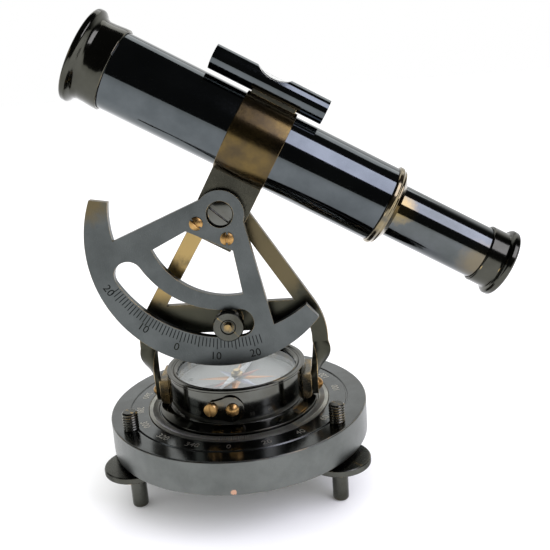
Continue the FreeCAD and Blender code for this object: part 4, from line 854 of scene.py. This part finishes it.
finish_nodes(mirror_black, "draw_tube_guide", "draw_tube_stop", "lens_keep_ring")
draw_black = metal("blackened brass, rubbed by sliding", ("#5c6061", "#505453"), "#a08a60",
                   roughness=0.08, grain_mm=0.8, wear=0, bump=0.03)
rubbed_patch(draw_black, tube_middle + tube_way * 57.5 + np.array((0, -9, 3.5)), reach_mm=2.6, fade_mm=4,
             ragged_mm=1.2, bare="#8a7b58")
rubbed_patch(draw_black, tube_middle + tube_way * 88 + np.array((0, -9, -3.0)), reach_mm=3, fade_mm=6,
             ragged_mm=1.6, bare="#6f6858")
tube_piece("sliding_tube", [(8.8, 16.6), (9.8, 16.6), (9.8, 96.2), (8.8, 96.2)], 0.15, draw_black,
           "draw_slide", "draw_tube")
tube_piece("eyepiece", [(9.82, 90.55), (10.4, 90.55), (10.7, 90.9), (10.7, 96.5), (10.9, 97.1), (11.8, 97.4),
                        (12.5, 98.1), (12.5, 99.7), (11.9, 100.3), (7.0, 100.3), (4.5, 99.1), (4.5, 98.2),
                        (9.82, 98.2)], 0.3, cell_black, "draw_slide", "eyepiece_cap")

# a lens reads as a dark pool with a cool sheen, a little dusty
lens_glass, tree, shader = new_material("coated lens glass")
where = node(tree, "ShaderNodeTexCoord").outputs["Object"]
dust = node(tree, "ShaderNodeTexNoise", inputs={"Vector": where, "Scale": 1 / (0.6 * MM), "Detail": 5.0})
depth = node(tree, "ShaderNodeMix", {"data_type": "RGBA"},
             {"Factor": dust.outputs["Fac"], "A": linear("#10161f"), "B": linear("#1c2430")})
lens_shine = node(tree, "ShaderNodeMapRange", inputs={"Value": dust.outputs["Fac"], "To Min": 0.02,
                                                      "To Max": 0.08})
tree.links.new(depth.outputs["Result"], shader.inputs["Base Color"])
tree.links.new(lens_shine.outputs["Result"], shader.inputs["Roughness"])
shader.inputs["IOR"].default_value = 1.6
finish_nodes(lens_glass, "objective_lens", "eye_lens")

# ------------------------------------------------------------------ spirit level
# A vial of green spirit in a polished blackened brass case, with a boat-shaped window cut through its top.
# Brass discs close its ends, and a small foot holds it on the band.
softened("level_case", "level_tube", mirror_black, worn_edge, "telescope", width_mm=0.15)
finish_nodes(mirror_black, "level_end_plugs")
bubble = printed("bubble in green spirit", "#dfe8c0", "#c0cf96", 0.12)
finish_nodes(bubble, "level_bubble")

# ------------------------------------------------------------------ clamp screw
# A thin knurled brass nut on a stud that stands on the crossbar and runs in the sector's slot. Both are
# turned, blackened and darkened further by handling.
knob_low, knob_high = box_mm("clamp_knob")
knob_x, knob_z = (knob_low[0] + knob_high[0]) / 2, (knob_low[2] + knob_high[2]) / 2
knob_radius = (knob_high[0] - knob_low[0]) / 2
knob_depth = knob_high[1] - knob_low[1]
knob_profile = rounded([(2.0, 0), (knob_radius - 0.4, 0), (knob_radius, 0.4), (knob_radius, knob_depth - 0.5),
                        (knob_radius - 0.4, knob_depth), (2.9, knob_depth), (2.6, knob_depth - 0.3),
                        (2.0, knob_depth - 0.3)], 0.12, closed=True)
knob = turned(knob_profile, (knob_x, knob_high[1], knob_z), forward, EAST, 200,
              knurl(count=100, depth=0.18, low=0.3, high=knob_depth - 0.4))
place_piece(mesh_from_grid("knurled_nut", knob, True), "knurled_nut", oiled_brass, "clamp_screw",
            "clamp_knob")
finish_nodes(oiled_brass, "clamp_stud")
